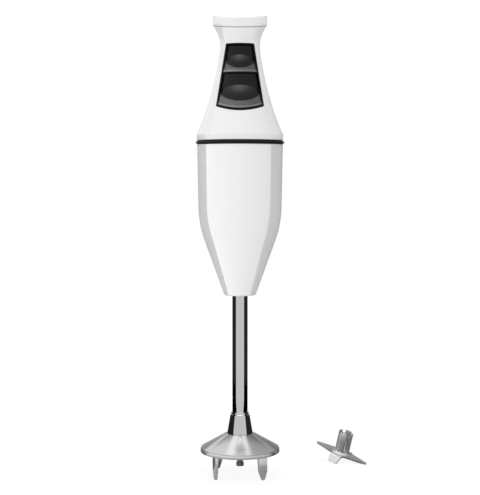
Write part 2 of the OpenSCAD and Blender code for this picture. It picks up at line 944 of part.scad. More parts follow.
module motor_bolts() {
    color("silver") for (a = [90, 270]) rotate([0, 0, a]) translate([bolt_ring, 0, 0]) {
        rod(bolt_r, stack_z - 12, flange_z - stack_z + 12 + eps);
        rod(2.8, flange_z, 2.2);
    }
}

module brush_holders() {
    in_x = commutator_r + 1.2;
    color("burlywood") pair() difference() {
        translate([in_x, -brush_w / 2 - 1.4, brush_z - brush_h / 2 - 1.4])
            cube([holder_end - in_x, brush_w + 2.8, plate_z - brush_z + brush_h / 2 + 1.4]);
        translate([in_x - 1, -brush_w / 2 - 0.1, brush_z - brush_h / 2 - 0.1])
            cube([holder_end - in_x - 0.5, brush_w + 0.2, brush_h + 0.2]);
    }
}

module carbon_brushes() {
    color("black") pair() difference() {
        translate([commutator_r - 1, -brush_w / 2, brush_z - brush_h / 2])
            cube([brush_len + 1, brush_w, brush_h]);
        rod(commutator_r + run_gap, brush_z - far / 2, far);
    }
}

module brush_springs() {
    start = commutator_r + brush_len;
    color("silver") pair() translate([start, 0, brush_z]) rotate([0, 90, 0])
        coil_spring(1.7, 0.25, holder_end - 1.5 - start, 5);
}

module housing_screws() {
    color("silver") for (a = [45, 225]) rotate([0, 0, a]) translate([bolt_ring + 2.3, 0, 0]) {
        rod(1.25, plate_z - eps, plate_t + 2.3);
        rod(2.3, plate_z - 1.6, 1.6);
    }
}

// ---------- wiring ----------

wire_r = 0.7;
wire_x = 5;
riser_x = holder_end - 2;

// Round wire through a list of points
module wire(points) {
    for (i = [0 : len(points) - 2]) {
        d = points[i + 1] - points[i];
        translate(points[i]) rotate([0, acos(d[2] / norm(d)), atan2(d[1], d[0])])
            cylinder(r = wire_r, h = norm(d), $fn = 24);
        translate(points[i + 1]) sphere(r = wire_r * 1.05, $fn = 24);
    }
}

module lead_wires() {
    back = board_y - 1.5;
    color("firebrick") for (x = [-1, 1]) wire([
        [x * riser_x, 0, plate_z + 0.1],
        [x * riser_x, 0, flange_z + 9],
        [x * wire_x, back, board_z - 4],
        [x * wire_x, back, board_z + 2],
        [x * wire_x, board_y + 1, board_z + 2]
    ]);
}

// ---------- loose blade ----------

// Stands the blade on its two short wings and the tip of one long wing
module set_down() {
    translate([blade_x, blade_y, wing_drop * cos(blade_lean) + wing_end_w * sin(blade_lean)])
        rotate([0, 0, blade_turn]) rotate([0, blade_lean, 0]) children();
}

module blade_tube() {
    fillet = 2;
    set_down() color("silver") difference() {
        union() {
            rod(blade_out_r, 0, blade_tube_h);
            difference() {
                rod(blade_out_r + fillet, blade_t, fillet);
                translate([0, 0, blade_t + fillet]) rotate_extrude()
                    translate([blade_out_r + fillet, 0]) circle(r = fillet, $fn = 48);
            }
        }
        rod(blade_fit_r, clip_z, far);
        rod(blade_fit_r + 0.4, -1, 1 + clip_z);
        rod(blade_in_r, blade_hub_h, far);
        rod(blade_in_r - 0.4, clip_z - clip_gap, 2 * clip_gap);
        for (i = [0 : 3]) rotate([0, 0, 45 + 90 * i]) translate([blade_in_r - 0.3, 0, 0])
            rotate([90, 0, 90]) linear_extrude(far) polygon([[-0.35, slot_z], [0.35, slot_z],
                     [0.35, blade_tube_h - notch_d - 0.2], [pin_r + 0.1, blade_tube_h - notch_d],
                     [2 * pin_r + 0.7, blade_tube_h + 1], [-pin_r - 0.1, blade_tube_h + 1],
                     [-pin_r - 0.1, blade_tube_h - notch_d], [-0.35, blade_tube_h - notch_d - 0.2]]);
    }
}

module cross_blade() {
    tip = 1.5;
    root = 7.6;
    set_down() color("silver") difference() {
        union() {
            linear_extrude(blade_t) union() {
                circle(r = root + 0.6);
                for (a = [0, 180]) rotate(a) union() {
                    polygon([[0, root], [blade_r - tip, tip], [blade_r - tip, -tip], [0, -root]]);
                    translate([blade_r - tip, 0]) circle(r = tip, $fn = 32);
                }
            }
            for (a = [90, 270]) rotate([0, 0, a]) intersection() {
                translate([0, far / 2, 0]) rotate([90, 0, 0]) linear_extrude(far) polygon([
                    [0, 0], [root + 0.4, 0], [wing_out - 0.9, -wing_drop + 0.5], [wing_out, -wing_drop],
                    [wing_out + 0.4, -wing_drop + 0.8], [root + 1.2, blade_t], [0, blade_t]]);
                translate([0, 0, -far / 2]) linear_extrude(far)
                    polygon([[0, root], [wing_out, wing_end_w], [wing_out + 1, wing_end_w],
                             [wing_out + 1, -wing_end_w], [wing_out, -wing_end_w], [0, -root]]);
            }
        }
        rod(blade_out_r + seat_gap, -far / 2, far);
        for (a = [45 : 90 : 315]) rotate([0, 0, a]) rod_at(root + 1.6, 0.9);
    }
}

module rod_at(x, r) {
    translate([x, 0, -1]) cylinder(r = r, h = 4, $fn = 32);
}

module blade_clip() {
    set_down() color("lightsteelblue") difference() {
        ring(blade_in_r - 0.6, spindle_neck_r + 0.15, clip_z - clip_t / 2, clip_t);
        translate([0, -1, clip_z - 1]) cube([far, 2, 2]);
    }
}

guard_bell();
guard_hub();
shaft_tube();
shaft_seal();
lower_shaft_bush();
upper_shaft_bush();
drive_shaft();
drive_pin();
shaft_coupling();
shaft_nut();
shaft_o_ring();
motor_casing();
casing_seal();
upper_housing();
end_cap();
cap_gasket();
cord_gland();
cord_clamp();
clamp_screws();
switch_bezel();
upper_button();
lower_button();
upper_button_spring();
lower_button_spring();
switch_carrier();
upper_microswitch();
upper_plunger();
lower_microswitch();
lower_plunger();
control_board();
suppression_capacitor();
suppression_chokes();
terminal_block();
lead_wires();
motor_shaft();
armature_core();
armature_windings();
commutator();
cooling_fan();
lower_bearing_inner();
lower_bearing_balls();
lower_bearing_outer();
upper_bearing_inner();
upper_bearing_balls();
upper_bearing_outer();
lower_motor_bracket();
upper_motor_bracket();
stator_core();
field_coils();
motor_bolts();
brush_holders();
carbon_brushes();
brush_springs();
housing_screws();
blade_tube();
cross_blade();
blade_clip();
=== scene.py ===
"""An immersion blender on the feet of its bell guard, with its cross blade taken off beside it."""

import json
import math

import bmesh
import bpy
from bpy.props import FloatProperty, FloatVectorProperty, IntProperty, PointerProperty
from mathutils import Matrix, Vector


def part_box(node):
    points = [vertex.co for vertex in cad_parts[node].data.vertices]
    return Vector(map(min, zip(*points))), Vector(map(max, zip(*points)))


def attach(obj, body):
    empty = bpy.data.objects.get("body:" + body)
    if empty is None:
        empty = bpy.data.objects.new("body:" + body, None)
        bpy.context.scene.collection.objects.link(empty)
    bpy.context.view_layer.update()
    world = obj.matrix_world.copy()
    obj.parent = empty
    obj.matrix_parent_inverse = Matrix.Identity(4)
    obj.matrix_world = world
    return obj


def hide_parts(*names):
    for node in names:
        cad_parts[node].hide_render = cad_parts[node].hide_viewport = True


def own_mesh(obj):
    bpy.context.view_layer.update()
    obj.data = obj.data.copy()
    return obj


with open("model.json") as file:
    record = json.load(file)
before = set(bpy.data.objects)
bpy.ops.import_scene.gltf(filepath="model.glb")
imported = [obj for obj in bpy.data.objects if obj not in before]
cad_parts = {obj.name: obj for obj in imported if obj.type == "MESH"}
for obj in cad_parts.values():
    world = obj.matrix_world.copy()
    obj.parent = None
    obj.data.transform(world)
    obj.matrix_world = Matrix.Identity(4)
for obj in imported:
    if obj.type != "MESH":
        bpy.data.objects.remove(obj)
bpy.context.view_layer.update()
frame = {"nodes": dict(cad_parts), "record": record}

bl_info = {
    "name": "Immersion Blender",
    "version": (1, 0, 0),
    "blender": (4, 5, 0),
    "location": "View3D > Sidebar > Immersion Blender",
    "description": "Builds the shells, metalwork and stage of an immersion blender round its packed frame",
    "category": "Object",
}

MM = 0.001
TAU = 2 * math.pi
SHARP = 35


# ---------- sizes taken from the frame, in millimetres ----------

def low(node):
    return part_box(node)[0] / MM


def high(node):
    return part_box(node)[1] / MM


WALL = 2.2
CASING_Z, CASING_TOP, CASING_R = low("motor_casing").z, high("motor_casing").z, high("motor_casing").x
SEAL_R, HOUSE_Z = high("casing_seal").x - 0.02, high("casing_seal").z
HOUSE_R = high("upper_housing").x
SPIGOT_Z = low("upper_housing").z
SPIGOT_R = CASING_R - WALL - 0.1
HEAD_R = high("end_cap").x
RIM_R, HUB_Z, HUB_TOP = high("guard_bell").x, low("guard_hub").z, high("guard_hub").z
HUB_R = high("guard_hub").x
RIM_Z = 17.2
TUBE_R, TUBE_Z, TUBE_TOP = high("shaft_tube").x, low("shaft_tube").z, high("shaft_tube").z
PANEL_Z, PANEL_TOP = low("switch_bezel").z, high("switch_bezel").z
MOUNTS = {m["name"]: m for m in frame["record"]["mounts"]}


def number(name, description, default, **options):
    return FloatProperty(name=name, description=description, default=default, **options)


def degrees(name, description, default):
    return number(name, description, math.radians(default), subtype="ANGLE")


def colour(name, description, default):
    return FloatVectorProperty(name=name, description=description, subtype="COLOR", size=3, default=default)


class StageSettings(bpy.types.PropertyGroup):
    floor_colour: colour("Floor", "Colour of the floor", (0.93, 0.93, 0.93))
    floor_glow: number("Floor glow", "Share of the floor that the lens sees as plain white", 0.91)
    camera_distance: number(
        "Camera distance", "Distance from the lens to the shaft's axis", 0.869, unit="LENGTH")
    camera_height: number("Camera height", "Height of the lens above the floor", 0.2188, unit="LENGTH")
    camera_pitch: degrees("Camera pitch", "How far the camera looks down", 2.1)
    camera_shift: number("Camera shift", "Vertical shift of the lens", -0.0543)
    lens: number("Lens", "Focal length of the camera in millimetres", 86.45)
    front_level: number("Front gloss", "Brightness that gloss reflects from the front", 1.15)
    side_level: number("Side gloss", "Brightness that gloss reflects from the sides, low down", 0.3)
    high_level: number("High side gloss", "Brightness that gloss reflects from the sides, high up", 0.85)
    rear_level: number("Rear gloss", "Brightness that gloss reflects from behind", 0.42)
    centre_level: number("Centre gloss", "Brightness that gloss reflects from high up straight behind", 1.45)
    overhead_level: number("Overhead gloss", "Brightness that gloss reflects from above", 1.55)
    strip_level: number("Chrome strips", "Brightness of the strips that the chrome reflects", 0.64)
    top_light: number("Top light", "Strength of the light from above", 1.7)
    key_light: number("Key light", "Strength of the light from the front left", 0.15)
    ambient: number("Ambient", "Strength of the surrounding light", 0.5)


class ShellSettings(bpy.types.PropertyGroup):
    white: colour("White", "Colour of the casing and the grip", (0.83, 0.83, 0.825))
    black: colour("Black", "Colour of the panel frame", (0.003, 0.003, 0.004))
    button: colour("Button", "Colour of the dark plastic inside", (0.055, 0.053, 0.05))
    nose_angle: degrees("Nose angle", "Half angle of the casing's nose", 20)
    barrel_angle: degrees("Barrel angle", "Half angle of the casing's barrel", 1.1)
    nose_radius: number("Nose radius", "Radius of the casing's nose in millimetres", 11.4)
    blend_radius: number("Blend radius", "Radius from the nose into the barrel in millimetres", 78)
    neck_radius: number("Neck radius", "Radius of the grip's neck in millimetres", 14.4)
    grip_height: number("Grip height", "From the shoulder to the neck in millimetres", 63.9)
    head_height: number("Head height", "From the neck to the cap's seam in millimetres", 15.5)
    seam_angle: degrees("Seam angle", "Slope of the cap's seam", 10.7)
    cap_angle: degrees("Cap angle", "Slope of the cap's top", 10.9)
    cap_height: number("Cap height", "Height of the cap at the axis in millimetres", 7.7)


class MetalSettings(bpy.types.PropertyGroup):
    chrome: colour("Chrome", "Colour of the shaft tube and the hub", (0.8, 0.8, 0.81))
    steel: colour("Steel", "Colour of the bell guard", (0.55, 0.555, 0.565))
    blade: colour("Blade", "Colour of the cross blade", (0.66, 0.66, 0.67))
    feet: IntProperty(name="Feet", description="Number of feet under the guard", default=4, min=3, max=6)
    foot_width: number("Foot width", "Width of a foot in millimetres", 7.2)
    foot_thickness: number("Foot thickness", "Thickness of a foot in millimetres", 2.2)
    foot_radius: number("Foot circle", "Radius on which the feet stand in millimetres", 24)
    foot_turn: degrees("First foot", "Angle of the first foot from +X", 42)
    foot_twist: degrees("Foot twist", "Turn of each foot's plate from the radius", 68)


def shells():
    return bpy.context.scene.blender_shells


def metals():
    return bpy.context.scene.blender_metals


# ---------- shader maths ----------

def operator(kind, swapped=False):
    """A method of Value that adds one maths node."""
    def method(self, other):
        first, second = (other, self) if swapped else (self, other)
        return self.finish.node("ShaderNodeMath", {"operation": kind}, {0: first, 1: second})
    return method


class Value:
    """A shader socket that can be used in Python expressions."""

    def __init__(self, finish, socket):
        self.finish, self.socket = finish, socket

    __add__, __radd__ = operator("ADD"), operator("ADD", True)
    __sub__, __rsub__ = operator("SUBTRACT"), operator("SUBTRACT", True)
    __mul__, __rmul__ = operator("MULTIPLY"), operator("MULTIPLY", True)
    __pow__ = operator("POWER")


class Finish:
    """A procedural material and the nodes in it."""

    def __init__(self, name):
        self.material = bpy.data.materials.new(name)
        self.material.use_nodes = True
        self.tree = self.material.node_tree
        self.tree.nodes.clear()

    def node(self, kind, settings=None, sockets=None, output=0):
        """Adds a node, makes its settings, then sets or links its sockets, and gives one output."""
        made = self.tree.nodes.new(kind)
        for key, value in (settings or {}).items():
            if key == "stops":
                ramp = made.color_ramp.elements
                while len(ramp) < len(value):
                    ramp.new(0.5)
                for stop, (place, colour) in zip(ramp, value):
                    stop.position = place
                    stop.color = colour
            else:
                setattr(made, key, value)
        for key, value in (sockets or {}).items():
            if isinstance(value, Value):
                self.tree.links.new(value.socket, made.inputs[key])
            else:
                made.inputs[key].default_value = value
        return Value(self, made.outputs[output]) if made.outputs else None

    def place(self, stretch=(1, 1, 1), turn=(0, 0, 0)):
        """Object coordinates, turned and stretched."""
        here = self.node("ShaderNodeTexCoord", output="Object")
        return self.node("ShaderNodeMapping", {"vector_type": "TEXTURE"}, {
            "Vector": here, "Rotation": turn, "Scale": [1 / s for s in stretch]})

    def noise(self, scale, detail=3, rough=0.55, where=None):
        return self.node("ShaderNodeTexNoise", None, {
            "Vector": where or self.place(), "Scale": scale, "Detail": detail, "Roughness": rough})

    def wave(self, scale, direction, distortion=0, kind="BANDS"):
        return self.node("ShaderNodeTexWave", {"wave_type": kind, kind.lower() + "_direction": direction}, {
            "Vector": self.place(), "Scale": scale, "Distortion": distortion, "Detail": 2.0})

    def ramp(self, value, start, end):
        """Smooth step from 0 at start to 1 at end."""
        return self.node("ShaderNodeMapRange", {"interpolation_type": "SMOOTHSTEP"}, {
            "Value": value, "From Min": start, "From Max": end})

    def mix(self, factor, first, second):
        """Blend of two colours, from their sockets 6 and 7 to the colour output, 2."""
        sockets = {0: factor, 6: (*first[:3], 1), 7: (*second[:3], 1)}
        return self.node("ShaderNodeMix", {"data_type": "RGBA"}, sockets, output=2)

    def bump(self, height, depth, strength=1.0):
        return self.node("ShaderNodeBump", None, {"Height": height, "Distance": depth, "Strength": strength})

    def surface(self, **sockets):
        """Principled surface; a socket's name is given with underscores."""
        named = {key.replace("_", " "): value for key, value in sockets.items()}
        for key, value in named.items():
            if isinstance(value, (tuple, list)) and len(value) == 3:
                named[key] = (*value, 1)
        shader = self.node("ShaderNodeBsdfPrincipled", None, named)
        self.node("ShaderNodeOutputMaterial", None, {"Surface": shader})
        return self.material


def tint(colour, factor):
    return tuple(min(1.0, c * factor) for c in colour[:3])


# ---------- finishes ----------

def moulded_gloss(name, colour, rough, coat, coat_ior=1.55):
    """Glossy moulded plastic: faint flow marks, a fine skin and a clear top."""
    f = Finish(name)
    flow = f.noise(14, 3, where=f.place((1, 1, 0.35)))
    skin = f.noise(900, 2)
    return f.surface(
        Base_Color=f.mix(flow, tint(colour, 0.985), tint(colour, 1.012)),
        Roughness=rough + 0.05 * flow,
        Coat_Weight=coat, Coat_Roughness=0.04, Coat_IOR=coat_ior, IOR=1.5,
        Normal=f.bump(skin, 0.00001, 0.3))


def satin_plastic(name, colour, rough=0.42, ior=1.5, grain=1400, depth=0.00006):
    """Spark-eroded plastic: a fine even grain and slight wear in colour."""
    f = Finish(name)
    fine = f.noise(grain, 4, 0.6)
    cloud = f.noise(60, 3)
    return f.surface(
        Base_Color=f.mix(cloud, tint(colour, 0.85), tint(colour, 1.15)),
        Roughness=rough + 0.12 * (fine - 0.5) + 0.06 * cloud,
        IOR=ior, Normal=f.bump(fine, depth, 0.6))


def button_plastic(name, colour):
    """Satin plastic, coloured by the painted shade and painted highlights held at each point of the button.
    """
    f = Finish(name)
    tone = f.node("ShaderNodeAttribute", {"attribute_name": "tone"}, output="Fac")
    fine = f.noise(1500, 4, 0.6)
    brushed = f.noise(160, 4, 0.6, f.place((0.12, 1, 1)))
    return f.surface(
        # colour is the painted shade and painted highlights from the mesh, with faint brushed streaks
        Base_Color=f.mix(tone * (0.85 + 0.3 * brushed), (0, 0, 0), colour),
        Roughness=0.34 + 0.1 * fine, IOR=1.27,
        Normal=f.bump(fine, 0.00004, 0.5))


def moulded_rubber(name, colour, rough=0.6, ior=1.5):
    f = Finish(name)
    fine = f.noise(1100, 5, 0.65)
    cloud = f.noise(45, 3)
    return f.surface(
        Base_Color=f.mix(cloud, tint(colour, 0.8), tint(colour, 1.2)),
        Roughness=rough + 0.15 * (fine - 0.5),
        IOR=ior, Normal=f.bump(fine, 0.0001, 0.6))


def polished_metal(name, colour, rough=0.05, streak=0.05):
    """Plated metal: near mirror, with faint drawing marks along the length."""
    f = Finish(name)
    drawn = f.noise(260, 4, 0.6, f.place((1, 1, 0.04)))
    smear = f.noise(35, 3)
    return f.surface(
        Base_Color=f.mix(drawn, tint(colour, 0.96), tint(colour, 1.03)),
        Metallic=1.0, Roughness=rough + streak * drawn * smear,
        Normal=f.bump(drawn, 0.000004, 0.4))


def turned_steel(name, colour, rough=0.17, rings=1500):
    """Steel polished on a lathe: fine rings about the vertical axis."""
    f = Finish(name)
    ring = f.wave(rings, "Z", 1.2, "RINGS")
    scuff = f.noise(120, 4, 0.6)
    return f.surface(
        Base_Color=f.mix(scuff, tint(colour, 0.94), tint(colour, 1.05)),
        Metallic=1.0, Roughness=rough + 0.05 * ring + 0.08 * (scuff - 0.5),
        Normal=f.bump(ring * 0.5 + scuff * 0.5, 0.000006, 0.5))


def ground_steel(name, colour, turn, rough=0.3):
    """Stainless sheet with a satin grind along one direction."""
    f = Finish(name)
    grind = f.noise(420, 5, 0.7, f.place((0.06, 1, 1), (0, 0, turn)))
    cloud = f.noise(80, 3)
    return f.surface(
        Base_Color=f.mix(grind, tint(colour, 0.9), tint(colour, 1.08)),
        Metallic=1.0, Roughness=rough + 0.12 * (grind - 0.5) + 0.05 * cloud,
        Normal=f.bump(grind, 0.000012, 0.6))


def cast_metal(name, colour, rough, metallic=1.0):
    f = Finish(name)
    grain = f.noise(700, 5, 0.65)
    cloud = f.noise(90, 3)
    return f.surface(
        Base_Color=f.mix(cloud, tint(colour, 0.85), tint(colour, 1.1)),
        Metallic=metallic, Roughness=rough + 0.15 * (grain - 0.5),
        Normal=f.bump(grain, 0.00004, 0.6))


def wound_wire(name, colour):
    """Enamelled copper wire laid side by side."""
    f = Finish(name)
    strand = f.wave(420, "Z", 2.5)
    cloud = f.noise(120, 3)
    return f.surface(
        Base_Color=f.mix(strand, tint(colour, 0.45), tint(colour, 1.1)),
        Metallic=0.7, Roughness=0.28 + 0.1 * cloud, Coat_Weight=0.6,
        Normal=f.bump(strand, 0.0002, 0.8))


def stacked_sheet(name, colour):
    """Laminated motor core: thin sheets stacked along the vertical."""
    f = Finish(name)
    sheet = f.wave(640, "Z")
    rust = f.noise(160, 4)
    return f.surface(
        Base_Color=f.mix(sheet, tint(colour, 0.7), tint(colour, 1.05)),
        Metallic=0.85, Roughness=0.38 + 0.15 * (rust - 0.5),
        Normal=f.bump(sheet, 0.00008, 0.7))


def coated_board(name, colour):
    f = Finish(name)
    track = f.wave(260, "X", 6)
    weave = f.noise(900, 3)
    stops = [(0.55, (0, 0, 0, 1)), (0.62, (1, 1, 1, 1))]
    lit = f.node("ShaderNodeValToRGB", {"stops": stops}, {"Fac": track})
    return f.surface(
        Base_Color=f.mix(lit, tint(colour, 0.8), tint(colour, 1.6)),
        Roughness=0.3 + 0.15 * weave, Normal=f.bump(lit, 0.00005, 0.5))


FINISHES = {}


def finish(slot):
    """The material of one of the record's slots, made once."""
    if slot not in FINISHES:
        FINISHES[slot] = SLOT_FINISHES[slot]()
    return FINISHES[slot]


SLOT_FINISHES = {
    "white_plastic": lambda: moulded_gloss("white_plastic", shells().white, 0.4, 1.0, 3.2),
    "black_rubber": lambda: moulded_rubber("black_rubber", (0.003, 0.003, 0.003), 0.5, 1.25),
    "grey_gasket": lambda: moulded_rubber("grey_gasket", (0.32, 0.32, 0.33), 0.5),
    "dark_plastic": lambda: satin_plastic("dark_plastic", shells().button, 0.33),
    "button_plastic": lambda: button_plastic("button_plastic", (1, 0.975, 0.95)),
    "chrome": lambda: polished_metal("chrome", metals().chrome),
    "steel": lambda: turned_steel("steel", metals().steel),
    "blade_steel": lambda: ground_steel("blade_steel", metals().blade, math.radians(-35)),
    "bronze": lambda: cast_metal("bronze", (0.6, 0.36, 0.16), 0.35),
    "copper": lambda: wound_wire("copper", (0.62, 0.24, 0.09)),
    "core_steel": lambda: stacked_sheet("core_steel", (0.3, 0.31, 0.33)),
    "bracket_alloy": lambda: cast_metal("bracket_alloy", (0.62, 0.62, 0.63), 0.42),
    "grey_plastic": lambda: satin_plastic("grey_plastic", (0.16, 0.17, 0.18), 0.45),
    "ivory_plastic": lambda: satin_plastic("ivory_plastic", (0.72, 0.68, 0.54), 0.4),
    "signal_plastic": lambda: moulded_gloss("signal_plastic", (0.5, 0.03, 0.02), 0.3, 0.4),
    "carbon": lambda: cast_metal("carbon", (0.02, 0.02, 0.021), 0.6, 0.3),
    "circuit_board": lambda: coated_board("circuit_board", (0.02, 0.16, 0.06)),
    "wire_red": lambda: moulded_rubber("wire_red", (0.42, 0.02, 0.015), 0.35),
    "capacitor_yellow": lambda: moulded_gloss("capacitor_yellow", (0.7, 0.42, 0.03), 0.35, 0.3),
    "fan_plastic": lambda: satin_plastic("fan_plastic", (0.03, 0.07, 0.22), 0.4),
}


# ---------- mesh building ----------

def add_object(name, bm, material, sharp=SHARP):
    """Links a closed mesh, normals outward, smooth but for its sharp edges."""
    bmesh.ops.remove_doubles(bm, verts=bm.verts, dist=1e-7)
    bmesh.ops.recalc_face_normals(bm, faces=bm.faces)
    mesh = bpy.data.meshes.new(name)
    bm.to_mesh(mesh)
    bm.free()
    mesh.materials.append(material)
    mesh.shade_smooth()
    mesh.set_sharp_from_angle(angle=math.radians(sharp))
    made = bpy.data.objects.new(name, mesh)
    bpy.context.scene.collection.objects.link(made)
    return made


def settle(piece, body, slot, *nodes):
    """Hangs a piece on the body that it rides on and hides the CAD nodes that it stands for; the slot is not
    used.
    """
    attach(piece, body)
    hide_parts(*nodes)


def bake(piece):
    """Turns a piece and its modifiers into a plain mesh."""
    graph = bpy.context.evaluated_depsgraph_get()
    mesh = bpy.data.meshes.new_from_object(piece.evaluated_get(graph))
    old = piece.data
    piece.modifiers.clear()
    piece.data = mesh
    bpy.data.meshes.remove(old)
    mesh.name = piece.name
    mesh.shade_smooth()
    mesh.set_sharp_from_angle(angle=math.radians(SHARP))


def carve(piece, shape, slot, operation="DIFFERENCE"):
    """Cuts a second mesh from a piece, or joins the two."""
    cutter = add_object("cutter", shape, finish(slot))
    cut = piece.modifiers.new("cut", "BOOLEAN")
    cut.operation = operation
    cut.solver = "EXACT"
    cut.object = cutter
    bake(piece)
    bpy.data.objects.remove(cutter)


def soften(piece, width, segments=2, angle=30):
    """Rounds a piece's sharp edges, in millimetres."""
    edge = piece.modifiers.new("edge", "BEVEL")
    edge.width = width * MM
    edge.segments = segments
    edge.limit_method = "ANGLE"
    edge.angle_limit = math.radians(angle)
    edge.use_clamp_overlap = True
    bake(piece)


def rounded(corners, steps=5):
    """Outline through corners (a, b, radius), each turned into an arc of that radius."""
    out = []
    count = len(corners)
    for i, (a, b, radius) in enumerate(corners):
        here = Vector((a, b))
        if not radius:
            out.append(here)
            continue
        back = Vector(corners[i - 1][:2]) - here
        on = Vector(corners[(i + 1) % count][:2]) - here
        half = back.angle(on) / 2
        reach = radius / math.tan(half)
        start, end = here + back.normalized() * reach, here + on.normalized() * reach
        centre = here + (back.normalized() + on.normalized()).normalized() * radius / math.sin(half)
        a0, a1 = (p - centre for p in (start, end))
        swing = a0.angle_signed(a1)
        for k in range(steps + 1):
            turned = a0.copy()
            turned.rotate(Matrix.Rotation(-swing * k / steps, 2))
            out.append(centre + turned)
    return out


def lathe(rows, around=160):
    """Closed skin through rows round the vertical axis.

    A row is (radius, height), or a function of the angle that gives them."""
    bm = bmesh.new()
    rings = []
    for row in rows:
        at = row if callable(row) else (lambda angle, row=row: row)
        if abs(at(0)[0]) < 1e-6:
            rings.append([bm.verts.new((0, 0, at(0)[1] * MM))] * around)
            continue
        ring = []
        for k in range(around):
            angle = TAU * k / around
            radius, height = at(angle)
            ring.append(bm.verts.new((
                radius * math.cos(angle) * MM, radius * math.sin(angle) * MM, height * MM)))
        rings.append(ring)
    for i, ring in enumerate(rings):
        after = rings[(i + 1) % len(rings)]
        for k in range(around):
            j = (k + 1) % around
            corners = []
            for vert in (ring[k], ring[j], after[j], after[k]):
                if vert not in corners:
                    corners.append(vert)
            if len(corners) > 2:
                bm.faces.new(corners)
    return bm


def prism(outline, depth, place):
    """Solid of an outline in its own X and Y, as thick as depth along its own Z, put in place."""
    bm = bmesh.new()
    lower = [bm.verts.new(place @ Vector((a, b, 0))) for a, b in outline]
    upper = [bm.verts.new(place @ Vector((a, b, depth))) for a, b in outline]
    bm.faces.new(lower)
    bm.faces.new(reversed(upper))
    count = len(outline)
    for k in range(count):
        j = (k + 1) % count
        bm.faces.new((lower[k], upper[k], upper[j], lower[j]))
    for vert in bm.verts:
        vert.co *= MM
    return bm


def turn_by(angle, axis):
    """Turn about an axis, in degrees."""
    return Matrix.Rotation(math.radians(angle), 4, axis)


def bridge(bm, first, second):
    """Faces between two loops that have the same count."""
    for k in range(len(first)):
        j = (k + 1) % len(first)
        bm.faces.new((first[k], first[j], second[j], second[k]))


def turned_piece(name, rows, around, body, slot, node, material=None):
    """Piece turned from rows, in its slot's finish or its own, that stands for a node."""
    piece = add_object(name, lathe(rows, around), material or finish(slot))
    settle(piece, body, slot, node)
    return piece


# ---------- outlines ----------

def casing_radius(z):
    """Radius of the motor casing at a height."""
    s = shells()
    nose, barrel = math.tan(s.nose_angle), math.tan(s.barrel_angle)
    rise = (CASING_R - (CASING_TOP - CASING_Z) * barrel - s.nose_radius) / (nose - barrel)
    corner = Vector((s.nose_radius + rise * nose, CASING_Z + rise))
    reach = s.blend_radius * math.tan((s.nose_angle - s.barrel_angle) / 2)
    start = corner - reach * Vector((math.sin(s.nose_angle), math.cos(s.nose_angle)))
    end = corner + reach * Vector((math.sin(s.barrel_angle), math.cos(s.barrel_angle)))
    if z <= start.y:
        return s.nose_radius + (z - CASING_Z) * nose
    if z >= end.y:
        return CASING_R - (CASING_TOP - z) * barrel
    centre = start + s.blend_radius * Vector((-math.cos(s.nose_angle), math.sin(s.nose_angle)))
    return centre.x + math.sqrt(s.blend_radius ** 2 - (z - centre.y) ** 2)


SHOULDER_H = 4.2
GRIP_LEAN = math.radians(25)


def neck_height():
    return HOUSE_Z + SHOULDER_H + shells().grip_height


def grip_points(count=48):
    """The grip's side from the shoulder up to the neck, as (radius, height)."""
    s = shells()
    start = Vector((HOUSE_R, HOUSE_Z + SHOULDER_H))
    end = Vector((s.neck_radius, neck_height()))
    low_pull = start + 0.44 * s.grip_height * Vector((-math.sin(GRIP_LEAN), math.cos(GRIP_LEAN)))
    top_pull = end - Vector((0, 0.095 * s.grip_height))
    points = []
    for i in range(count + 1):
        t = i / count
        u = 1 - t
        points.append(u ** 3 * start + 3 * u * u * t * low_pull + 3 * u * t * t * top_pull + t ** 3 * end)
    return points


GRIP_TABLE = []


def head_radius(z):
    """Radius of the flared head at a height above the neck."""
    s = shells()
    flare = ((HEAD_R - s.neck_radius) ** 2 + s.head_height ** 2) / (2 * (HEAD_R - s.neck_radius))
    up = min(max(z - neck_height(), 0), s.head_height)
    return s.neck_radius + flare - math.sqrt(flare * flare - up * up)


def grip_radius(z):
    """Radius of the upper housing at a height."""
    if z >= neck_height():
        return head_radius(z)
    if not GRIP_TABLE:
        GRIP_TABLE.extend(grip_points(200))
    if z <= GRIP_TABLE[0].y:
        return HOUSE_R
    for a, b in zip(GRIP_TABLE, GRIP_TABLE[1:]):
        if z <= b.y:
            return a.x + (b.x - a.x) * (z - a.y) / (b.y - a.y)
    return shells().neck_radius


def plane_row(height, slope, inset=0.0):
    """Row of the head where it meets a sloping plane, moved in."""
    def at(angle):
        z = height
        for _ in range(6):
            z = height + head_radius(z) * math.sin(angle) * math.tan(slope)
        radius = head_radius(z) - inset
        return radius, height + radius * math.sin(angle) * math.tan(slope)
    return at


def between(lower, upper, share, inset):
    """Row of the head at a share of the way between two rows."""
    def at(angle):
        z = lower(angle)[1] + (upper(angle)[1] - lower(angle)[1]) * share
        return head_radius(z) - inset, z
    return at


# ---------- switch panel ----------

PANEL_TOP_W = 10.2
PANEL_LOW_W = 17.8
PANEL_ARC = 46.7
BEZEL_W = 1.1


def panel_width(z, inset=0.0):
    slope = (PANEL_LOW_W - PANEL_TOP_W) / (PANEL_TOP - PANEL_Z)
    return PANEL_TOP_W + (PANEL_TOP - z) * slope - inset * math.hypot(1, slope)


def panel_floor(x, inset=0.0):
    """Height of the panel's bowed bottom edge at x."""
    radius = PANEL_ARC - inset
    return PANEL_Z + PANEL_ARC - math.sqrt(radius * radius - x * x)


def panel_corner(inset):
    """Half width at which the bottom edge meets the sides."""
    x = PANEL_LOW_W
    for _ in range(12):
        x = panel_width(panel_floor(x, inset), inset)
    return x


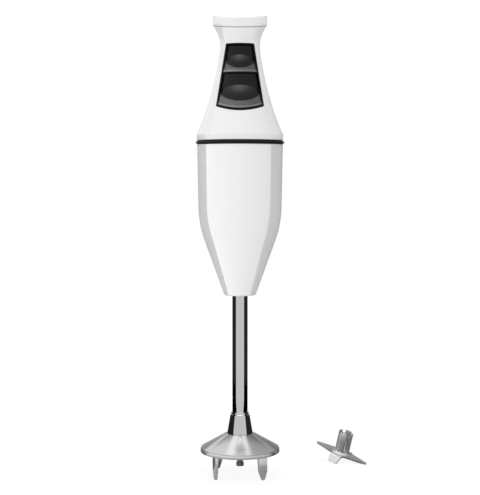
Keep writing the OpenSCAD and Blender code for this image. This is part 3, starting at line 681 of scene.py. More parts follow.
def panel_outline(inset, arc_steps=20, side_steps=24, top_steps=10):
    """The panel's outline as (x, z), anticlockwise from its lower left corner."""
    top = PANEL_TOP - inset
    edge = panel_corner(inset)
    points = [(-edge + 2 * edge * i / arc_steps, 0) for i in range(arc_steps)]
    points = [(x, panel_floor(x, inset)) for x, _ in points]
    start = panel_floor(edge, inset)
    for i in range(side_steps):
        z = start + (top - start) * i / side_steps
        points.append((panel_width(z, inset), z))
    width = panel_width(top, inset)
    points += [(width - 2 * width * i / top_steps, top) for i in range(top_steps)]
    for i in range(side_steps):
        z = top + (start - top) * i / side_steps
        points.append((-panel_width(z, inset), z))
    return points


def front(x, z, depth):
    """Point on the front of the grip at x and z, that far under its surface."""
    radius = grip_radius(z) - depth
    return Vector((x, -math.sqrt(max(radius * radius - x * x, 0.01)), z)) * MM


def smooth_step(t):
    t = min(max(t, 0.0), 1.0)
    return t * t * (3 - 2 * t)


def button_depth(x, z, button):
    """How far a button's face lies under the grip's surface."""
    low_edge = panel_floor(x, button["inset"]) if button["bowed"] else button["low"]
    up = z - low_edge
    ridge = math.exp(-((up - 0.9) / 0.75) ** 2)
    ramp = smooth_step((up - 1.2) / (button["pad_z"] - button["low"] - 2.0))
    depth = 0.35 - 0.95 * ridge + 1.15 * ramp * (1 - smooth_step((up - button["rise"]) / 4.5) * 0.35)
    across = x / (button["pad_w"] / 2)
    along = (z - button["pad_z"]) / (button["pad_h"] / 2)
    reach = math.sqrt(across * across + along * along)
    if reach < 1:
        dome = math.sqrt(1 - reach * reach)
        lift = 1.55 * dome ** 0.75 * (1 - 0.45 * along)
        depth = min(depth, depth - lift + 0.25)
    return depth


def button_painted_shading(x, z, button):
    """Painted shading of a button's plastic: painted shade in the recess and along the bottom edge, painted
    light on the lip with a painted highlight on its ridge, and the pad's dark satin with a painted highlight
    near its top centre.
    """
    low_edge = panel_floor(x, button["inset"]) if button["bowed"] else button["low"]
    up = z - low_edge
    across = x / (button["pad_w"] / 2)
    along = (z - button["pad_z"]) / (button["pad_h"] / 2)
    reach = math.sqrt(across * across + along * along)
    lip = 1 - smooth_step((along + 0.45) / 0.9)
    # painted shade: the lip is darker towards the right
    side = 1 - 0.35 * smooth_step((across + 1) / 2)
    # painted light on the lip, brightest as a painted highlight along its ridge
    tone = 0.004 + lip * side * (0.14 + 0.16 * math.exp(-((up - 1.1) / 0.6) ** 2))
    # painted shade along the bottom edge
    if up < 0.35:
        tone *= 0.25
    # the pad's dark satin colour, with a painted highlight near its top centre
    pad = 0.008 + 0.08 * smooth_step((along + 0.35) / 1.2) * math.exp(-((across + 0.05) / 0.45) ** 2)
    inside = 1 - smooth_step((reach - 0.97) / 0.05)
    return tone + (pad - tone) * inside


def build_button(name, button, across=72, upright=84):
    """A sculpted button: its face, its sides and its back, as one closed mesh, each vertex carrying the
    painted shade and painted highlights of its plastic.
    """
    bm = bmesh.new()
    tone = bm.verts.layers.float.new("tone")
    inset = button["inset"]
    back_depth = 3.0
    face, back = [], []
    for j in range(upright + 1):
        t = j / upright
        row_face, row_back = [], []
        for i in range(across + 1):
            s = -1 + 2 * i / across
            z = button["low"] + (button["high"] - button["low"]) * t
            for _ in range(8):
                x = s * panel_width(z, inset)
                floor = panel_floor(x, inset) if button["bowed"] else button["low"]
                z = floor + (button["high"] - floor) * t
            edge = min(1 - abs(s), t * 1.6, (1 - t) * 1.6) * panel_width(z, inset)
            roll = 0.45 * (1 - smooth_step(edge / 0.55))
            row_face.append(bm.verts.new(front(x, z, button_depth(x, z, button) + roll)))
            # painted shade and painted highlights for this point of the face
            row_face[-1][tone] = button_painted_shading(x, z, button)
            row_back.append(bm.verts.new(front(x, z, back_depth)))
            row_back[-1][tone] = 0.01
        face.append(row_face)
        back.append(row_back)
    for grid, flip in ((face, False), (back, True)):
        for j in range(upright):
            for i in range(across):
                quad = [grid[j][i], grid[j][i + 1], grid[j + 1][i + 1], grid[j + 1][i]]
                bm.faces.new(reversed(quad) if flip else quad)
    rim = [(0, i) for i in range(across)] + [(j, across) for j in range(upright)]
    rim += [(upright, i) for i in range(across, 0, -1)] + [(j, 0) for j in range(upright, 0, -1)]
    for k, (j, i) in enumerate(rim):
        m, n = rim[(k + 1) % len(rim)]
        bm.faces.new((face[j][i], back[j][i], back[m][n], face[m][n]))
    return add_object(name, bm, finish("button_plastic"), 50)


# ---------- operators ----------

class STICK_OT_stage(bpy.types.Operator):
    """Lays the floor, hangs the lights and sets the camera"""

    bl_idname = "stick.stage"
    bl_label = "Stage"

    LENS_WHITE = 1.02
    # the tent's zones: degrees round from the front, with the left negative, then metres
    FRONT_LEFT, FRONT_RIGHT = (-103, -99), (91, 88)
    REAR, REAR_CENTRE = (155, 160), (163, 167)
    SIDE_HEIGHT, UPPER_HEIGHT, CENTRE_HEIGHT = (0.26, 0.34), (0.4, 0.48), (0.4, 0.5)
    FLOOR_NEAR = (0.13, 0.09)

    def execute(self, context):
        s = context.scene.blender_stage
        context.scene.view_settings.view_transform = "Standard"
        self.add_floor(s)
        self.add_world(context, s)
        self.add_tent(s)
        self.add_lamps(s)
        self.add_strips(s)
        self.add_camera(context, s)
        return {"FINISHED"}

    def add_floor(self, s):
        """Pale floor, which the lens sees a little brighter than the light on it."""
        f = Finish("floor")
        cloud = f.noise(3, 3)
        paint = f.node("ShaderNodeBsdfDiffuse", None, {
            "Color": f.mix(cloud, tint(s.floor_colour, 0.99), s.floor_colour)})
        glow = f.node("ShaderNodeEmission", None, {"Strength": self.LENS_WHITE})
        seen = f.node("ShaderNodeLightPath", output="Is Camera Ray")
        f.node("ShaderNodeOutputMaterial", None, {
            "Surface": f.node("ShaderNodeMixShader", None, {0: seen * s.floor_glow, 1: paint, 2: glow})})
        bpy.ops.mesh.primitive_circle_add(vertices=96, radius=6, fill_type="NGON")
        floor = bpy.context.object
        floor.name = "floor"
        floor.data.materials.append(f.material)

    def add_world(self, context, s):
        """White to the lens, softer as a light."""
        world = bpy.data.worlds.new("surround")
        context.scene.world = world
        world.use_nodes = True
        nodes, links = world.node_tree.nodes, world.node_tree.links
        sky = nodes["Background"]
        path = nodes.new("ShaderNodeLightPath")
        level = nodes.new("ShaderNodeMapRange")
        level.inputs["To Min"].default_value = s.ambient
        level.inputs["To Max"].default_value = self.LENS_WHITE
        links.new(path.outputs["Is Camera Ray"], level.inputs["Value"])
        links.new(level.outputs["Result"], sky.inputs["Strength"])
        sky.inputs["Color"].default_value = (1, 1, 1, 1)

    def add_tent(self, s):
        """Light tent that only gloss reflects: bright in front and overhead, dim at the sides and behind."""
        f = Finish("tent")
        x, y, z = (f.node("ShaderNodeSeparateXYZ", None, {0: f.place()}, output=k) for k in range(3))
        azimuth = f.node("ShaderNodeMath", {"operation": "ARCTAN2"}, {0: x, 1: y * -1}) * (180 / math.pi)
        off = f.node("ShaderNodeMath", {"operation": "ABSOLUTE"}, {0: azimuth})
        out = (x * x + y * y) ** 0.5
        near = f.ramp(out, *self.FLOOR_NEAR)
        front_zone = f.ramp(azimuth, *self.FRONT_LEFT) * f.ramp(azimuth, *self.FRONT_RIGHT)
        upper_zone = f.ramp(z, *self.UPPER_HEIGHT)
        rear_zone = f.ramp(off + 15 * upper_zone, *self.REAR)
        centre = f.ramp(off, *self.REAR_CENTRE) * f.ramp(z, *self.CENTRE_HEIGHT)
        level = s.front_level * (1 - 0.0026 * azimuth) * (1 - 0.55 * near)
        high_side = s.high_level - 0.002 * azimuth
        side = s.side_level * (1 - 0.0012 * azimuth) * (1 - 0.6 * near)
        side = side + (high_side - side) * f.ramp(z, *self.SIDE_HEIGHT)
        rear = s.rear_level * (1 - 0.8 * x) * (1 - 0.3 * upper_zone) * (1 - centre) + s.centre_level * centre
        around = front_zone * level + (1 - front_zone) * ((1 - rear_zone) * side + rear_zone * rear)
        box = f.ramp(z, 1.0, 1.04) * f.ramp(x, -0.36, -0.33) * f.ramp(x, 0.34, 0.22)
        f.surface(
            Base_Color=(0, 0, 0), Specular_IOR_Level=0.0,
            Emission_Color=(1 - box) * around + box * s.overhead_level, Emission_Strength=1.0)
        rows = [(0, 1), (40, 1), (600, 1), (600, 1000), (550, 1100), (0, 1150)]
        tent = add_object("tent", lathe(rows, 96), f.material)
        tent.visible_camera = tent.visible_diffuse = tent.visible_shadow = False
        tent.visible_transmission = tent.visible_volume_scatter = False
        tent.light_linking.receiver_collection = bpy.data.collections.new("seen_in_tent")

    def add_lamps(self, s):
        """Soft light from above, and a weaker one from the front left."""
        for name, level, angle, turn in (
            ("overhead", s.top_light, 70, (0, 0, 0)),
            ("key", s.key_light, 60, (math.radians(62), 0, math.radians(-38))),
        ):
            light = bpy.data.lights.new(name, "SUN")
            light.energy = level
            light.angle = math.radians(angle)
            lamp = bpy.data.objects.new(name, light)
            lamp.rotation_euler = turn
            lamp.visible_glossy = False
            bpy.context.scene.collection.objects.link(lamp)

    def add_strips(self, s):
        """Strips that only the chrome reflects, with darkness between them."""
        receivers = bpy.data.collections.new("seen_in_strips")
        for name, place, turn, wide, tall, level in (
            ("strip_front", (0, -0.1, 0.17), (90, 0, 0), 0.36, 0.34, s.strip_level),
            ("strip_rear", (0, 0.1, 0.1), (-90, 0, 0), 0.11, 0.2, s.strip_level * 1.2),
            ("strip_above", (0, -0.2, 0.9), (0, 0, 0), 0.8, 1.5, s.strip_level * 2.4),
            ("fill_left", (-0.3, 0, 0.1), (90, 0, -90), 0.8, 0.6, s.strip_level * 0.03),
            ("fill_right", (0.3, 0, 0.1), (90, 0, 90), 0.8, 0.6, s.strip_level * 0.035),
        ):
            light = bpy.data.lights.new(name, "AREA")
            light.shape = "RECTANGLE"
            light.size, light.size_y = wide, tall
            light.energy = level * math.pi * wide * tall
            lamp = bpy.data.objects.new(name, light)
            lamp.location = place
            lamp.rotation_euler = [math.radians(a) for a in turn]
            lamp.visible_camera = lamp.visible_diffuse = False
            lamp.light_linking.receiver_collection = receivers
            bpy.context.scene.collection.objects.link(lamp)

    def add_camera(self, context, s):
        data = bpy.data.cameras.new("camera")
        data.lens = s.lens
        data.sensor_width = 36
        data.shift_y = s.camera_shift
        camera = bpy.data.objects.new("camera", data)
        camera.location = (0, -s.camera_distance, s.camera_height)
        camera.rotation_euler = (math.radians(90) - s.camera_pitch, 0, 0)
        context.scene.collection.objects.link(camera)
        context.scene.camera = camera


class STICK_OT_casing(bpy.types.Operator):
    """Builds the motor casing and the seal ring above it"""

    bl_idname = "stick.casing"
    bl_label = "Motor casing"

    def execute(self, context):
        bottom, top = CASING_Z, CASING_TOP
        floor = 3.0
        bore = TUBE_R + 0.05
        outer = [(casing_radius(z), z) for z in self.heights(bottom + 1.6, top - 0.7)]
        inner = [(casing_radius(z) - WALL, z) for z in self.heights(bottom + floor, top)]
        start = casing_radius(bottom)
        lip = rounded([(bore, bottom, 0.0), (start, bottom, 1.1), (*outer[0], 0.0)], 6)[:-1]
        edge = rounded([(*outer[-1], 0.0), (casing_radius(top), top, 0.35), (*inner[-1], 0.0)], 3)[1:-1]
        rows = lip + outer + edge + inner[::-1]
        rows.append((bore, bottom + floor))
        turned_piece("casing_shell", rows, 192, "housing", "white_plastic", "motor_casing")
        self.add_seal()
        return {"FINISHED"}

    def heights(self, start, end, count=90):
        return [start + (end - start) * k / count for k in range(count + 1)]

    def add_seal(self):
        """Rubber ring with a rounded bead that stands proud of both housings."""
        inner, web = SPIGOT_R + 0.1, HOUSE_R - 0.3
        bead_low, bead_top, bead_round = CASING_TOP + 0.7, HOUSE_Z - 0.8, 0.4
        rows = rounded([
            (inner, CASING_TOP, 0.0), (web, CASING_TOP, 0.0), (web, bead_low, 0.1),
            (SEAL_R, bead_low, bead_round), (SEAL_R, bead_top, bead_round),
            (web, bead_top, 0.1), (web, HOUSE_Z, 0.0), (inner, HOUSE_Z, 0.0)])
        turned_piece("seal_ring", rows, 192, "housing", "black_rubber", "casing_seal")


class STICK_OT_housing(bpy.types.Operator):
    """Builds the upper housing, its end cap, seam ring and cord gland"""

    bl_idname = "stick.housing"
    bl_label = "Upper housing"

    SEAM_HALF = 0.3

    def execute(self, context):
        s = shells()
        self.seam = neck_height() + s.head_height
        self.add_shell(s)
        self.add_gasket(s)
        self.add_cap(s)
        self.add_gland()
        return {"FINISHED"}

    def add_shell(self, s):
        grip = [(p.x, p.y) for p in grip_points(56)]
        shoulder = rounded([
            (HOUSE_R - WALL, HOUSE_Z, 0.0), (HOUSE_R, HOUSE_Z, 0.4), (*grip[0], 1.6), (*grip[3], 0.0)], 5)
        outer = shoulder[1:-1] + grip[3:]
        top = plane_row(self.seam - self.SEAM_HALF, s.seam_angle)
        waist = plane_row(neck_height() + 2.5, 0.0)
        flare = [between(waist, top, k / 14, 0.0) for k in range(15)]
        inside = [between(waist, top, k / 14, WALL) for k in range(14, -1, -1)]
        hollow = [(r - WALL, z) for r, z in reversed(grip)]
        spigot = [
            (HOUSE_R - WALL, HOUSE_Z + 1), (SPIGOT_R - 1.5, HOUSE_Z + 1), (SPIGOT_R - 1.5, SPIGOT_Z),
            (SPIGOT_R, SPIGOT_Z), (SPIGOT_R, HOUSE_Z)]
        rows = outer + flare + inside + hollow + spigot
        # The grip's white is brightened 1.06 times over the casing's as painted light.
        white = moulded_gloss("grip_plastic_painted_light", tint(s.white, 1.06), 0.4, 0.7, 2.3)
        shell = add_object("grip_shell", lathe(rows, 240), white)
        self.add_boss(shell)
        window = turn_by(90, "X")
        carve(shell, prism(panel_outline(0.0), 60, window), "white_plastic")
        soften(shell, 0.3, 2, 40)
        settle(shell, "housing", "white_plastic", "upper_housing")

    def add_boss(self, shell):
        """The boss at the rear that holds the gland, and the hole through it."""
        gland_low, gland_high = low("cord_gland"), high("cord_gland")
        self.gland_z = (gland_low.z + gland_high.z) / 2
        self.gland_end = gland_high.y - 2
        start, end = shells().neck_radius - 1.2, self.gland_end
        radius, bore = 7, 4.65
        boss = self.to_rear([(0, start, 0), (radius, start, 0), (radius, end, 0.6), (0, end, 0)])
        carve(shell, boss, "white_plastic", "UNION")
        hole = self.to_rear([(0, 5, 0), (bore, 5, 0), (bore, 60, 0), (0, 60, 0)])
        carve(shell, hole, "white_plastic")

    def to_rear(self, corners, around=64):
        """Solid turned about the gland's axis, which points to the rear."""
        bm = lathe(rounded(corners), around)
        place = Matrix.Translation((0, 0, self.gland_z)) @ turn_by(-90, "X")
        bmesh.ops.transform(bm, matrix=scaled(place), verts=bm.verts)
        return bm

    def add_gasket(self, s):
        lower, upper = (plane_row(self.seam + d, s.seam_angle) for d in (-self.SEAM_HALF, self.SEAM_HALF))
        sunk, inside = 0.35, WALL - 0.1
        rows = [between(lower, upper, *at) for at in ((0, sunk), (1, sunk), (1, inside), (0, inside))]
        turned_piece("seam_ring", rows, 192, "housing", "grey_gasket", "cap_gasket")

    def add_cap(self, s):
        bottom = plane_row(self.seam + self.SEAM_HALF, s.seam_angle)
        height, slope = self.seam + s.cap_height, s.cap_angle
        round_r = 1.5
        crown = [self.crown(height, slope, round_r, k / 7) for k in range(8)]
        side = [between(bottom, crown[0], k / 8, 0.0) for k in range(8)]
        disc = [self.disc(height, slope, round_r, share) for share in (0.97, 0.8, 0.6, 0.4, 0.2)]
        under = plane_row(self.seam + self.SEAM_HALF, s.seam_angle, WALL + 1.6)
        rows = side + crown + disc + [(0, height), (0, self.seam + 1.2), under]
        # The cap's white is brightened 1.12 times over the casing's as painted light on the top.
        white = moulded_gloss("cap_plastic_painted_light", tint(s.white, 1.12), 0.4, 0.5, 1.9)
        turned_piece("head_cap", rows, 192, "housing", "white_plastic", "end_cap", white)

    def crown(self, height, slope, radius, share):
        """Row of the cap's rounded top edge."""
        def at(angle):
            turn = share * math.pi / 2
            r = HEAD_R - radius + radius * math.cos(turn)
            plane = height + r * math.sin(angle) * math.tan(slope)
            side = head_radius(plane - radius)
            r = min(r, side - radius + radius * math.cos(turn))
            return r, height + r * math.sin(angle) * math.tan(slope) - radius + radius * math.sin(turn)
        return at

    def disc(self, height, slope, radius, share):
        """Row of the cap's flat top."""
        def at(angle):
            r = self.crown(height, slope, radius, 1)(angle)[0] * share
            return r, height + r * math.sin(angle) * math.tan(slope)
        return at

    def add_gland(self):
        inner = low("cord_gland").y
        outer = high("cord_gland").y
        cord, neck, collar = 3.2, 4.6, 6.2
        bm = self.to_rear([
            (cord, inner, 0), (neck, inner, 0.2), (neck, self.gland_end, 0), (collar, self.gland_end, 0.2),
            (collar, outer, 0.8), (cord, outer, 0.6)])
        gland = add_object("cord_bush", bm, finish("black_rubber"))
        settle(gland, "housing", "black_rubber", "cord_gland")


def scaled(place):
    """A placing matrix in millimetres, for a mesh in metres."""
    moved = place.copy()
    moved.translation = moved.translation * MM
    return moved


class STICK_OT_switches(bpy.types.Operator):
    """Builds the black panel frame, the two sculpted buttons and their springs"""

    bl_idname = "stick.switches"
    bl_label = "Switch panel"

    def execute(self, context):
        self.add_bezel()
        for name, body in (("upper_button", "upper_switch"), ("lower_button", "lower_switch")):
            piece = build_button(name + "_face", self.button_sizes(name))
            settle(piece, body, "dark_plastic", name)
            self.add_spring(name)
        return {"FINISHED"}

    def add_spring(self, name):
        """A button's return spring, copied from its CAD node."""
        node, joint = name + "_spring", name + "_press"
        record = frame["record"]
        slot = next(part["material_slot"] for part in record["subparts"] if part["node"] == node)
        bm = bmesh.new()
        bm.from_mesh(frame["nodes"][node].data)
        spring = add_object(name + "_return_spring", bm, finish(slot))
        settle(spring, "housing", slot, node)
        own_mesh(spring)

    def button_sizes(self, name):
        """Where a button lies on the panel, and its oval pad."""
        lo, hi = low(name), high(name)
        upper = name == "upper_button"
        pad = PANEL_Z + (35.8 if upper else 12.9)
        return {
            "low": lo.z, "high": hi.z, "inset": BEZEL_W + 0.3, "bowed": not upper,
            "pad_z": pad, "pad_w": 19.5 if upper else 27.6, "pad_h": 9.4 if upper else 11.2,
            "rise": pad - lo.z}

    def add_bezel(self):
        """Frame swept round the panel's outline, its section rounded on top."""
        inner = panel_outline(BEZEL_W)
        outer = panel_outline(0.06)
        section = [
            (0.0, 2.4), (0.0, 0.1), (0.12, -0.12), (0.35, -0.22), (0.65, -0.22), (0.88, -0.1),
            (1.0, 0.15), (1.0, 2.4)]
        bm = bmesh.new()
        loops = []
        for (xo, zo), (xi, zi) in zip(outer, inner):
            loops.append([
                bm.verts.new(front(xo + (xi - xo) * share, zo + (zi - zo) * share, depth))
                for share, depth in section])
        for a, b in zip(loops, loops[1:] + loops[:1]):
            bridge(bm, a, b)
        black = satin_plastic("panel_black", shells().black, 0.3, ior=1.25)
        bezel = add_object("panel_frame", bm, black, 40)
        settle(bezel, "housing", "dark_plastic", "switch_bezel")


def light_chrome(piece):
    """Leaves a piece out of the tent's light and puts it in the strips'."""
    for name, state in (("seen_in_tent", "EXCLUDE"), ("seen_in_strips", "INCLUDE")):
        receivers = bpy.data.collections[name]
        receivers.objects.link(piece)
        receivers.collection_objects[-1].light_linking.link_state = state


class STICK_OT_shaft(bpy.types.Operator):
    """Builds the chromed tube, the guard's hub and the drive shaft with its spindle end"""

    bl_idname = "stick.shaft"
    bl_label = "Shaft"

    def execute(self, context):
        self.add_tube()
        self.add_hub()
        self.add_spindle()
        return {"FINISHED"}

    def add_tube(self):
        rows = rounded([
            (TUBE_R - 1, TUBE_Z, 0.0), (TUBE_R, TUBE_Z, 0.2),
            (TUBE_R, TUBE_TOP, 0.2), (TUBE_R - 1, TUBE_TOP, 0.0)])
        light_chrome(turned_piece("chrome_tube", rows, 128, "housing", "chrome", "shaft_tube"))

    def add_hub(self):
        lip = 1.8
        shoulder = TUBE_R + 1.4
        rows = rounded([
            (TUBE_R + 0.05, HUB_Z, 0.0), (HUB_R, HUB_Z, 0.0), (HUB_R - 0.2, HUB_Z + 1.5, 3.0),
            (shoulder, HUB_TOP - lip, 0.35), (shoulder - 0.6, HUB_TOP - lip + 0.25, 0.1),
            (shoulder - 0.65, HUB_TOP, 0.3), (TUBE_R + 0.05, HUB_TOP, 0.0)], 6)
        light_chrome(turned_piece("hub_sleeve", rows, 128, "housing", "chrome", "guard_hub"))

    def add_spindle(self):
        """The drive shaft: a ring and a clip groove at its end, then the spindle and the shaft."""
        bottom, top = low("drive_shaft").z, high("drive_shaft").z
        radius = high("drive_shaft").x
        spindle = MOUNTS["drive_spindle"]["dims"]["r_mm"]
        shoulder = high("drive_pin").z + 0.5 - 3.0
        neck, groove_low, groove_top = spindle - 0.6, bottom + 2.7, bottom + 4.7
        rows = rounded([
            (0, bottom, 0), (spindle, bottom, 0.45), (spindle, groove_low, 0.2), (neck, groove_low, 0.15),
            (neck, groove_top, 0.15), (spindle, groove_top, 0.2), (spindle, shoulder, 0.05),
            (radius, shoulder, 0.15), (radius, top, 0.3), (0, top, 0)], 4)
        # The spindle's steel is darkened to 0.3 of the guard's colour as painted shade inside the bell.
        shade_darkened = turned_steel("shade_darkened_steel", tint(metals().steel, 0.3))
        turned_piece("drive_spindle", rows, 96, "rotor", "steel", "drive_shaft", shade_darkened)


class STICK_OT_guard(bpy.types.Operator):
    """Builds the bell guard and repeats its feet with geometry nodes"""

    bl_idname = "stick.guard"
    bl_label = "Bell guard"

    def execute(self, context):
        m = metals()
        bell = self.add_bell()
        feet = self.add_feet(m)
        settle(bell, "housing", "steel", "guard_bell")
        settle(feet, "housing", "steel")
        return {"FINISHED"}

    def add_bell(self):
        sheet, rim, band, groove = 1.2, RIM_Z, 2.5, 0.4
        top_r = HUB_R + 0.6
        foot, line = rim + band + groove, RIM_R - 0.5
        slope = (HUB_Z - foot) / (RIM_R - top_r)
        slant = sheet * math.hypot(1, slope)
        rows = rounded([
            (RIM_R - sheet, rim, 0.25), (RIM_R, rim, 0.3), (RIM_R, rim + band, 0.35),
            (line, rim + band, 0.1), (line, foot, 0.1), (RIM_R, foot, 0.15),
            (top_r + 0.2, HUB_Z - 0.1, 1.2), (TUBE_R + 0.1, HUB_Z, 0.0), (TUBE_R + 0.1, HUB_Z - slant, 0.0),
            (top_r, HUB_Z - slant, 1.0), (RIM_R - sheet, foot + sheet * slope - slant, 1.0)], 6)
        return add_object("bell", lathe(rows, 192), finish("steel"), 30)

    def add_feet(self, m):
        """One foot with its tab, then as many as the guard has."""
        foot = add_object("foot", self.foot_mesh(m), finish("steel"))
        soften(foot, 0.25, 2)
        tree = self.repeat_tree()
        ring = foot.modifiers.new("ring", "NODES")
        ring.node_group = tree
        ids = {item.name: item.identifier for item in tree.interface.items_tree if item.item_type == "SOCKET"}
        ring[ids["Count"]] = m.feet
        ring[ids["First"]] = m.foot_turn
        ring[ids["Finish"]] = finish("steel")
        foot.update_tag()
        bake(foot)
        foot.name = "guard_feet"
        return foot

    def foot_mesh(self, m):
        """Plate with one straight and one slanting edge and a round tip, on a tab that reaches the rim."""
        rim, tip = RIM_Z, 1.1
        wide = m.foot_width / 2
        off = m.foot_width * 0.08
        top = rim + 1.55
        bend = rim * 0.38
        outline = rounded([
            (-wide, top, 0), (-wide * 0.8, bend, 2.0), (off - tip * 1.02, 0.02, tip * 0.98),
            (off + tip * 1.02, 0.02, tip * 0.98), (wide, bend, 2.0), (wide, top, 0)], 6)
        twist = Matrix.Rotation(m.foot_twist, 4, "Z")
        stand = Matrix.Translation((m.foot_radius, 0, 0)) @ twist
        upright = turn_by(90, "X")
        plate = stand @ Matrix.Translation((0, m.foot_thickness / 2, 0)) @ upright
        bm = prism(outline, m.foot_thickness, plate)
        tab_in, tab_out, tab_half, tab_t = -2.2, 4.4, 4.2, 1.5
        tab = prism(
            [(tab_in, -tab_half), (tab_out, -tab_half), (tab_out, tab_half), (tab_in, tab_half)], tab_t,
            Matrix.Translation((m.foot_radius, 0, rim + 0.02)))
        whole = bpy.data.meshes.new("tab")
        tab.to_mesh(whole)
        tab.free()
        bm.from_mesh(whole)
        bpy.data.meshes.remove(whole)
        return bm

    def repeat_tree(self):
        """Copies of the input turned about the vertical axis at even steps."""
        tree = bpy.data.node_groups.new("ring_of_feet", "GeometryNodeTree")
        face = tree.interface
        for name, way, kind in (
            ("Geometry", "INPUT", "Geometry"), ("Count", "INPUT", "Int"), ("First", "INPUT", "Float"),
            ("Finish", "INPUT", "Material"), ("Geometry", "OUTPUT", "Geometry"),
        ):
            face.new_socket(name, in_out=way, socket_type="NodeSocket" + kind)
        nodes, links = tree.nodes, tree.links
        inp, out = nodes.new("NodeGroupInput"), nodes.new("NodeGroupOutput")
        points = nodes.new("GeometryNodeMeshLine")
        points.inputs["Offset"].default_value = (0, 0, 0)
        index = nodes.new("GeometryNodeInputIndex")
        step = nodes.new("ShaderNodeMath")
        step.operation = "DIVIDE"
        step.inputs[0].default_value = TAU
        angle = nodes.new("ShaderNodeMath")
        angle.operation = "MULTIPLY_ADD"
        turn = nodes.new("ShaderNodeCombineXYZ")
        copy = nodes.new("GeometryNodeInstanceOnPoints")
        real = nodes.new("GeometryNodeRealizeInstances")
        coat = nodes.new("GeometryNodeSetMaterial")
        for start, end in (
            (inp.outputs["Count"], points.inputs["Count"]),
            (inp.outputs["Count"], step.inputs[1]),
            (index.outputs[0], angle.inputs[0]),
            (step.outputs[0], angle.inputs[1]),
            (inp.outputs["First"], angle.inputs[2]),
            (angle.outputs[0], turn.inputs["Z"]),
            (points.outputs[0], copy.inputs["Points"]),
            (inp.outputs["Geometry"], copy.inputs["Instance"]),
            (turn.outputs[0], copy.inputs["Rotation"]),
            (copy.outputs[0], real.inputs[0]),
            (real.outputs[0], coat.inputs["Geometry"]),
            (inp.outputs["Finish"], coat.inputs["Material"]),
            (coat.outputs[0], out.inputs[0]),
        ):
            links.new(start, end)
        return tree


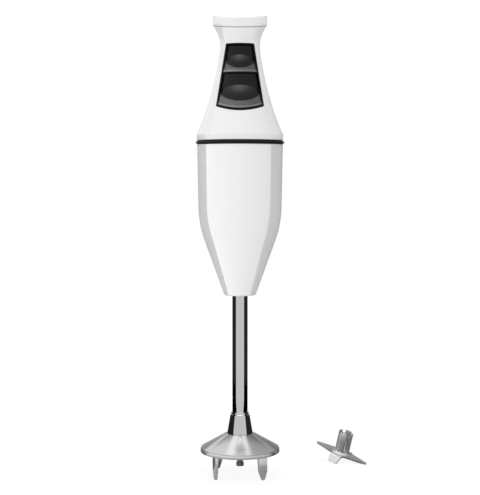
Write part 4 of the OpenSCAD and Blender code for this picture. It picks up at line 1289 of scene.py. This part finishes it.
class STICK_OT_blade(bpy.types.Operator):
    """Builds the loose cross blade: its tube and its winged sheet"""

    bl_idname = "stick.blade"
    bl_label = "Cross blade"

    TUBE_H = 18.0
    IN_R = 4.95
    OUT_R = 5.6
    SHEET = 1.2
    REACH = 22.4
    DROP = 5.0
    NOTCH = 2.4
    BORE_Z = 5.75

    def execute(self, context):
        mount = MOUNTS["blade_bore"]
        axis = Vector(mount["axis"])
        turn = math.atan2(axis.y, axis.x)
        lean = math.acos(axis.z)
        base = Vector(mount["pos_m"]) - axis * self.BORE_Z * MM
        self.place = Matrix.Translation(base) @ Matrix.Rotation(turn, 4, "Z") @ Matrix.Rotation(lean, 4, "Y")
        self.add_tube()
        self.add_sheet()
        return {"FINISHED"}

    def put_down(self, piece, *nodes):
        piece.data.transform(self.place)
        settle(piece, "blade", "blade_steel", *nodes)

    def add_tube(self):
        flare = 2.0
        bore = MOUNTS["blade_bore"]["dims"]["r_mm"]
        out, wall, sheet = self.OUT_R, self.IN_R, self.SHEET
        bends = [math.radians(15 * k) for k in range(7)]
        skirt = [(out + flare * (1 - math.sin(a)), sheet + flare * (1 - math.cos(a))) for a in bends]
        rows = [(bore + 0.4, 0.02), (out, 0.02), (out, sheet - 0.05), (out + flare, sheet - 0.05)] + skirt
        relief, relief_low, relief_top, bore_top = wall - 0.4, 2.5, 3.5, 8
        rows += rounded([
            (out, 12, 0), (out, self.TUBE_H, 0.22), (wall, self.TUBE_H, 0.22), (wall, bore_top, 0.3),
            (bore, bore_top, 0.2), (bore, relief_top, 0), (relief, relief_top, 0), (relief, relief_low, 0),
            (bore + 0.4, relief_low, 0)], 4)
        tube = add_object("blade_tube_shell", lathe(rows, 120), finish("blade_steel"))
        for k in range(4):
            outward = Matrix.Translation((self.IN_R - 0.3, 0, 0))
            cut = turn_by(45 + 90 * k, "Z") @ outward @ turn_by(90, "Y") @ turn_by(90, "Z")
            carve(tube, prism(self.notch_outline(), 4, cut), "blade_steel")
        soften(tube, 0.08, 2, 40)
        self.put_down(tube, "blade_tube")

    def notch_outline(self):
        """Slot down the tube's wall, opened at the rim by a ramp."""
        low_z, rim, deep = 6.0, self.TUBE_H, self.NOTCH
        slot, mouth = 0.33, 1.1
        return [
            (-slot, low_z), (slot, low_z), (slot, rim - deep - 0.2), (mouth, rim - deep), (2.7, rim + 1),
            (-mouth, rim + 1), (-mouth, rim - deep), (-slot, rim - deep - 0.2)]

    def add_sheet(self):
        root, tip = 7.6, 1.5
        long_wing = rounded([
            (0, root, 0), (self.REACH, tip * 0.82, tip), (self.REACH, -tip * 0.82, tip), (0, -root, 0),
            (-self.REACH, -tip * 0.82, tip), (-self.REACH, tip * 0.82, tip)], 6)
        flat = prism(long_wing, self.SHEET, Matrix())
        plate = add_object("cross_sheet", flat, finish("blade_steel"))
        disc = lathe([(0, 0), (root + 0.6, 0), (root + 0.6, self.SHEET), (0, self.SHEET)], 96)
        carve(plate, disc, "blade_steel", "UNION")
        for side in (1, -1):
            carve(plate, self.bent_wing(side, root), "blade_steel", "UNION")
        hole = lathe([(0, -9), (self.OUT_R + 0.03, -9), (self.OUT_R + 0.03, 9), (0, 9)], 96)
        carve(plate, hole, "blade_steel")
        for k in range(4):
            angle = math.radians(45 + 90 * k)
            nick = lathe([(0, -2), (0.9, -2), (0.9, 3), (0, 3)], 32)
            away = Vector((math.cos(angle), math.sin(angle), 0)) * 9.2 * MM
            bmesh.ops.translate(nick, verts=nick.verts, vec=away)
            carve(plate, nick, "blade_steel")
        soften(plate, 0.14, 2, 35)
        self.put_down(plate, "cross_blade")

    def bent_wing(self, side, root):
        """A short wing: flat beside the tube, then rolled down to its blunt end."""
        bm = bmesh.new()
        spine = [
            (1.0, 0.0), (root - 0.4, 0.0), (root + 0.5, -0.25), (root + 1.2, -0.95), (11.2, -4.65),
            (11.55, -self.DROP + 0.45)]
        rows = []
        for k, (out, drop) in enumerate(spine):
            before, after = spine[max(k - 1, 0)], spine[min(k + 1, len(spine) - 1)]
            along = Vector((after[0] - before[0], after[1] - before[1])).normalized()
            normal = Vector((-along.y, along.x)) * self.SHEET
            half = root + (3.4 - root) * out / 12
            rows.append([
                bm.verts.new(Vector((x, side * y, z)) * MM)
                for x, y, z in (
                    (-half, out, drop), (half, out, drop),
                    (half, out + normal.x, drop + normal.y), (-half, out + normal.x, drop + normal.y))])
        for a, b in zip(rows, rows[1:]):
            bridge(bm, a, b)
        bm.faces.new(rows[0])
        bm.faces.new(reversed(rows[-1]))
        return bm


class STICK_OT_inner(bpy.types.Operator):
    """Gives every carried-over part its finish"""

    bl_idname = "stick.inner"
    bl_label = "Inner parts"

    def execute(self, context):
        for part in frame["record"]["subparts"]:
            node = frame["nodes"][part["node"]]
            for place in node.material_slots:
                place.material = finish(part["material_slot"])
        return {"FINISHED"}


OPERATORS = (
    STICK_OT_stage, STICK_OT_inner, STICK_OT_casing, STICK_OT_housing, STICK_OT_switches,
    STICK_OT_shaft, STICK_OT_guard, STICK_OT_blade,
)


class STICK_PT_panel(bpy.types.Panel):
    """Lists the steps that build the blender"""

    bl_idname = "STICK_PT_panel"
    bl_label = "Immersion Blender"
    bl_space_type = "VIEW_3D"
    bl_region_type = "UI"
    bl_category = "Immersion Blender"

    def draw(self, context):
        for group in GROUPS:
            settings = getattr(context.scene, group)
            box = self.layout.box()
            for key in settings.__annotations__:
                box.prop(settings, key)
        for operator in OPERATORS:
            self.layout.operator(operator.bl_idname)


GROUPS = {"blender_stage": StageSettings, "blender_shells": ShellSettings, "blender_metals": MetalSettings}
CLASSES = (*GROUPS.values(), *OPERATORS, STICK_PT_panel)


def register():
    for cls in CLASSES:
        bpy.utils.register_class(cls)
    for name, cls in GROUPS.items():
        setattr(bpy.types.Scene, name, PointerProperty(type=cls))


def unregister():
    for name in GROUPS:
        delattr(bpy.types.Scene, name)
    for cls in reversed(CLASSES):
        bpy.utils.unregister_class(cls)


def main():
    register()
    bpy.ops.stick.stage()
    bpy.ops.stick.inner()
    bpy.ops.stick.casing()
    bpy.ops.stick.housing()
    bpy.ops.stick.switches()
    bpy.ops.stick.shaft()
    bpy.ops.stick.guard()
    bpy.ops.stick.blade()


if __name__ == "__main__":
    main()
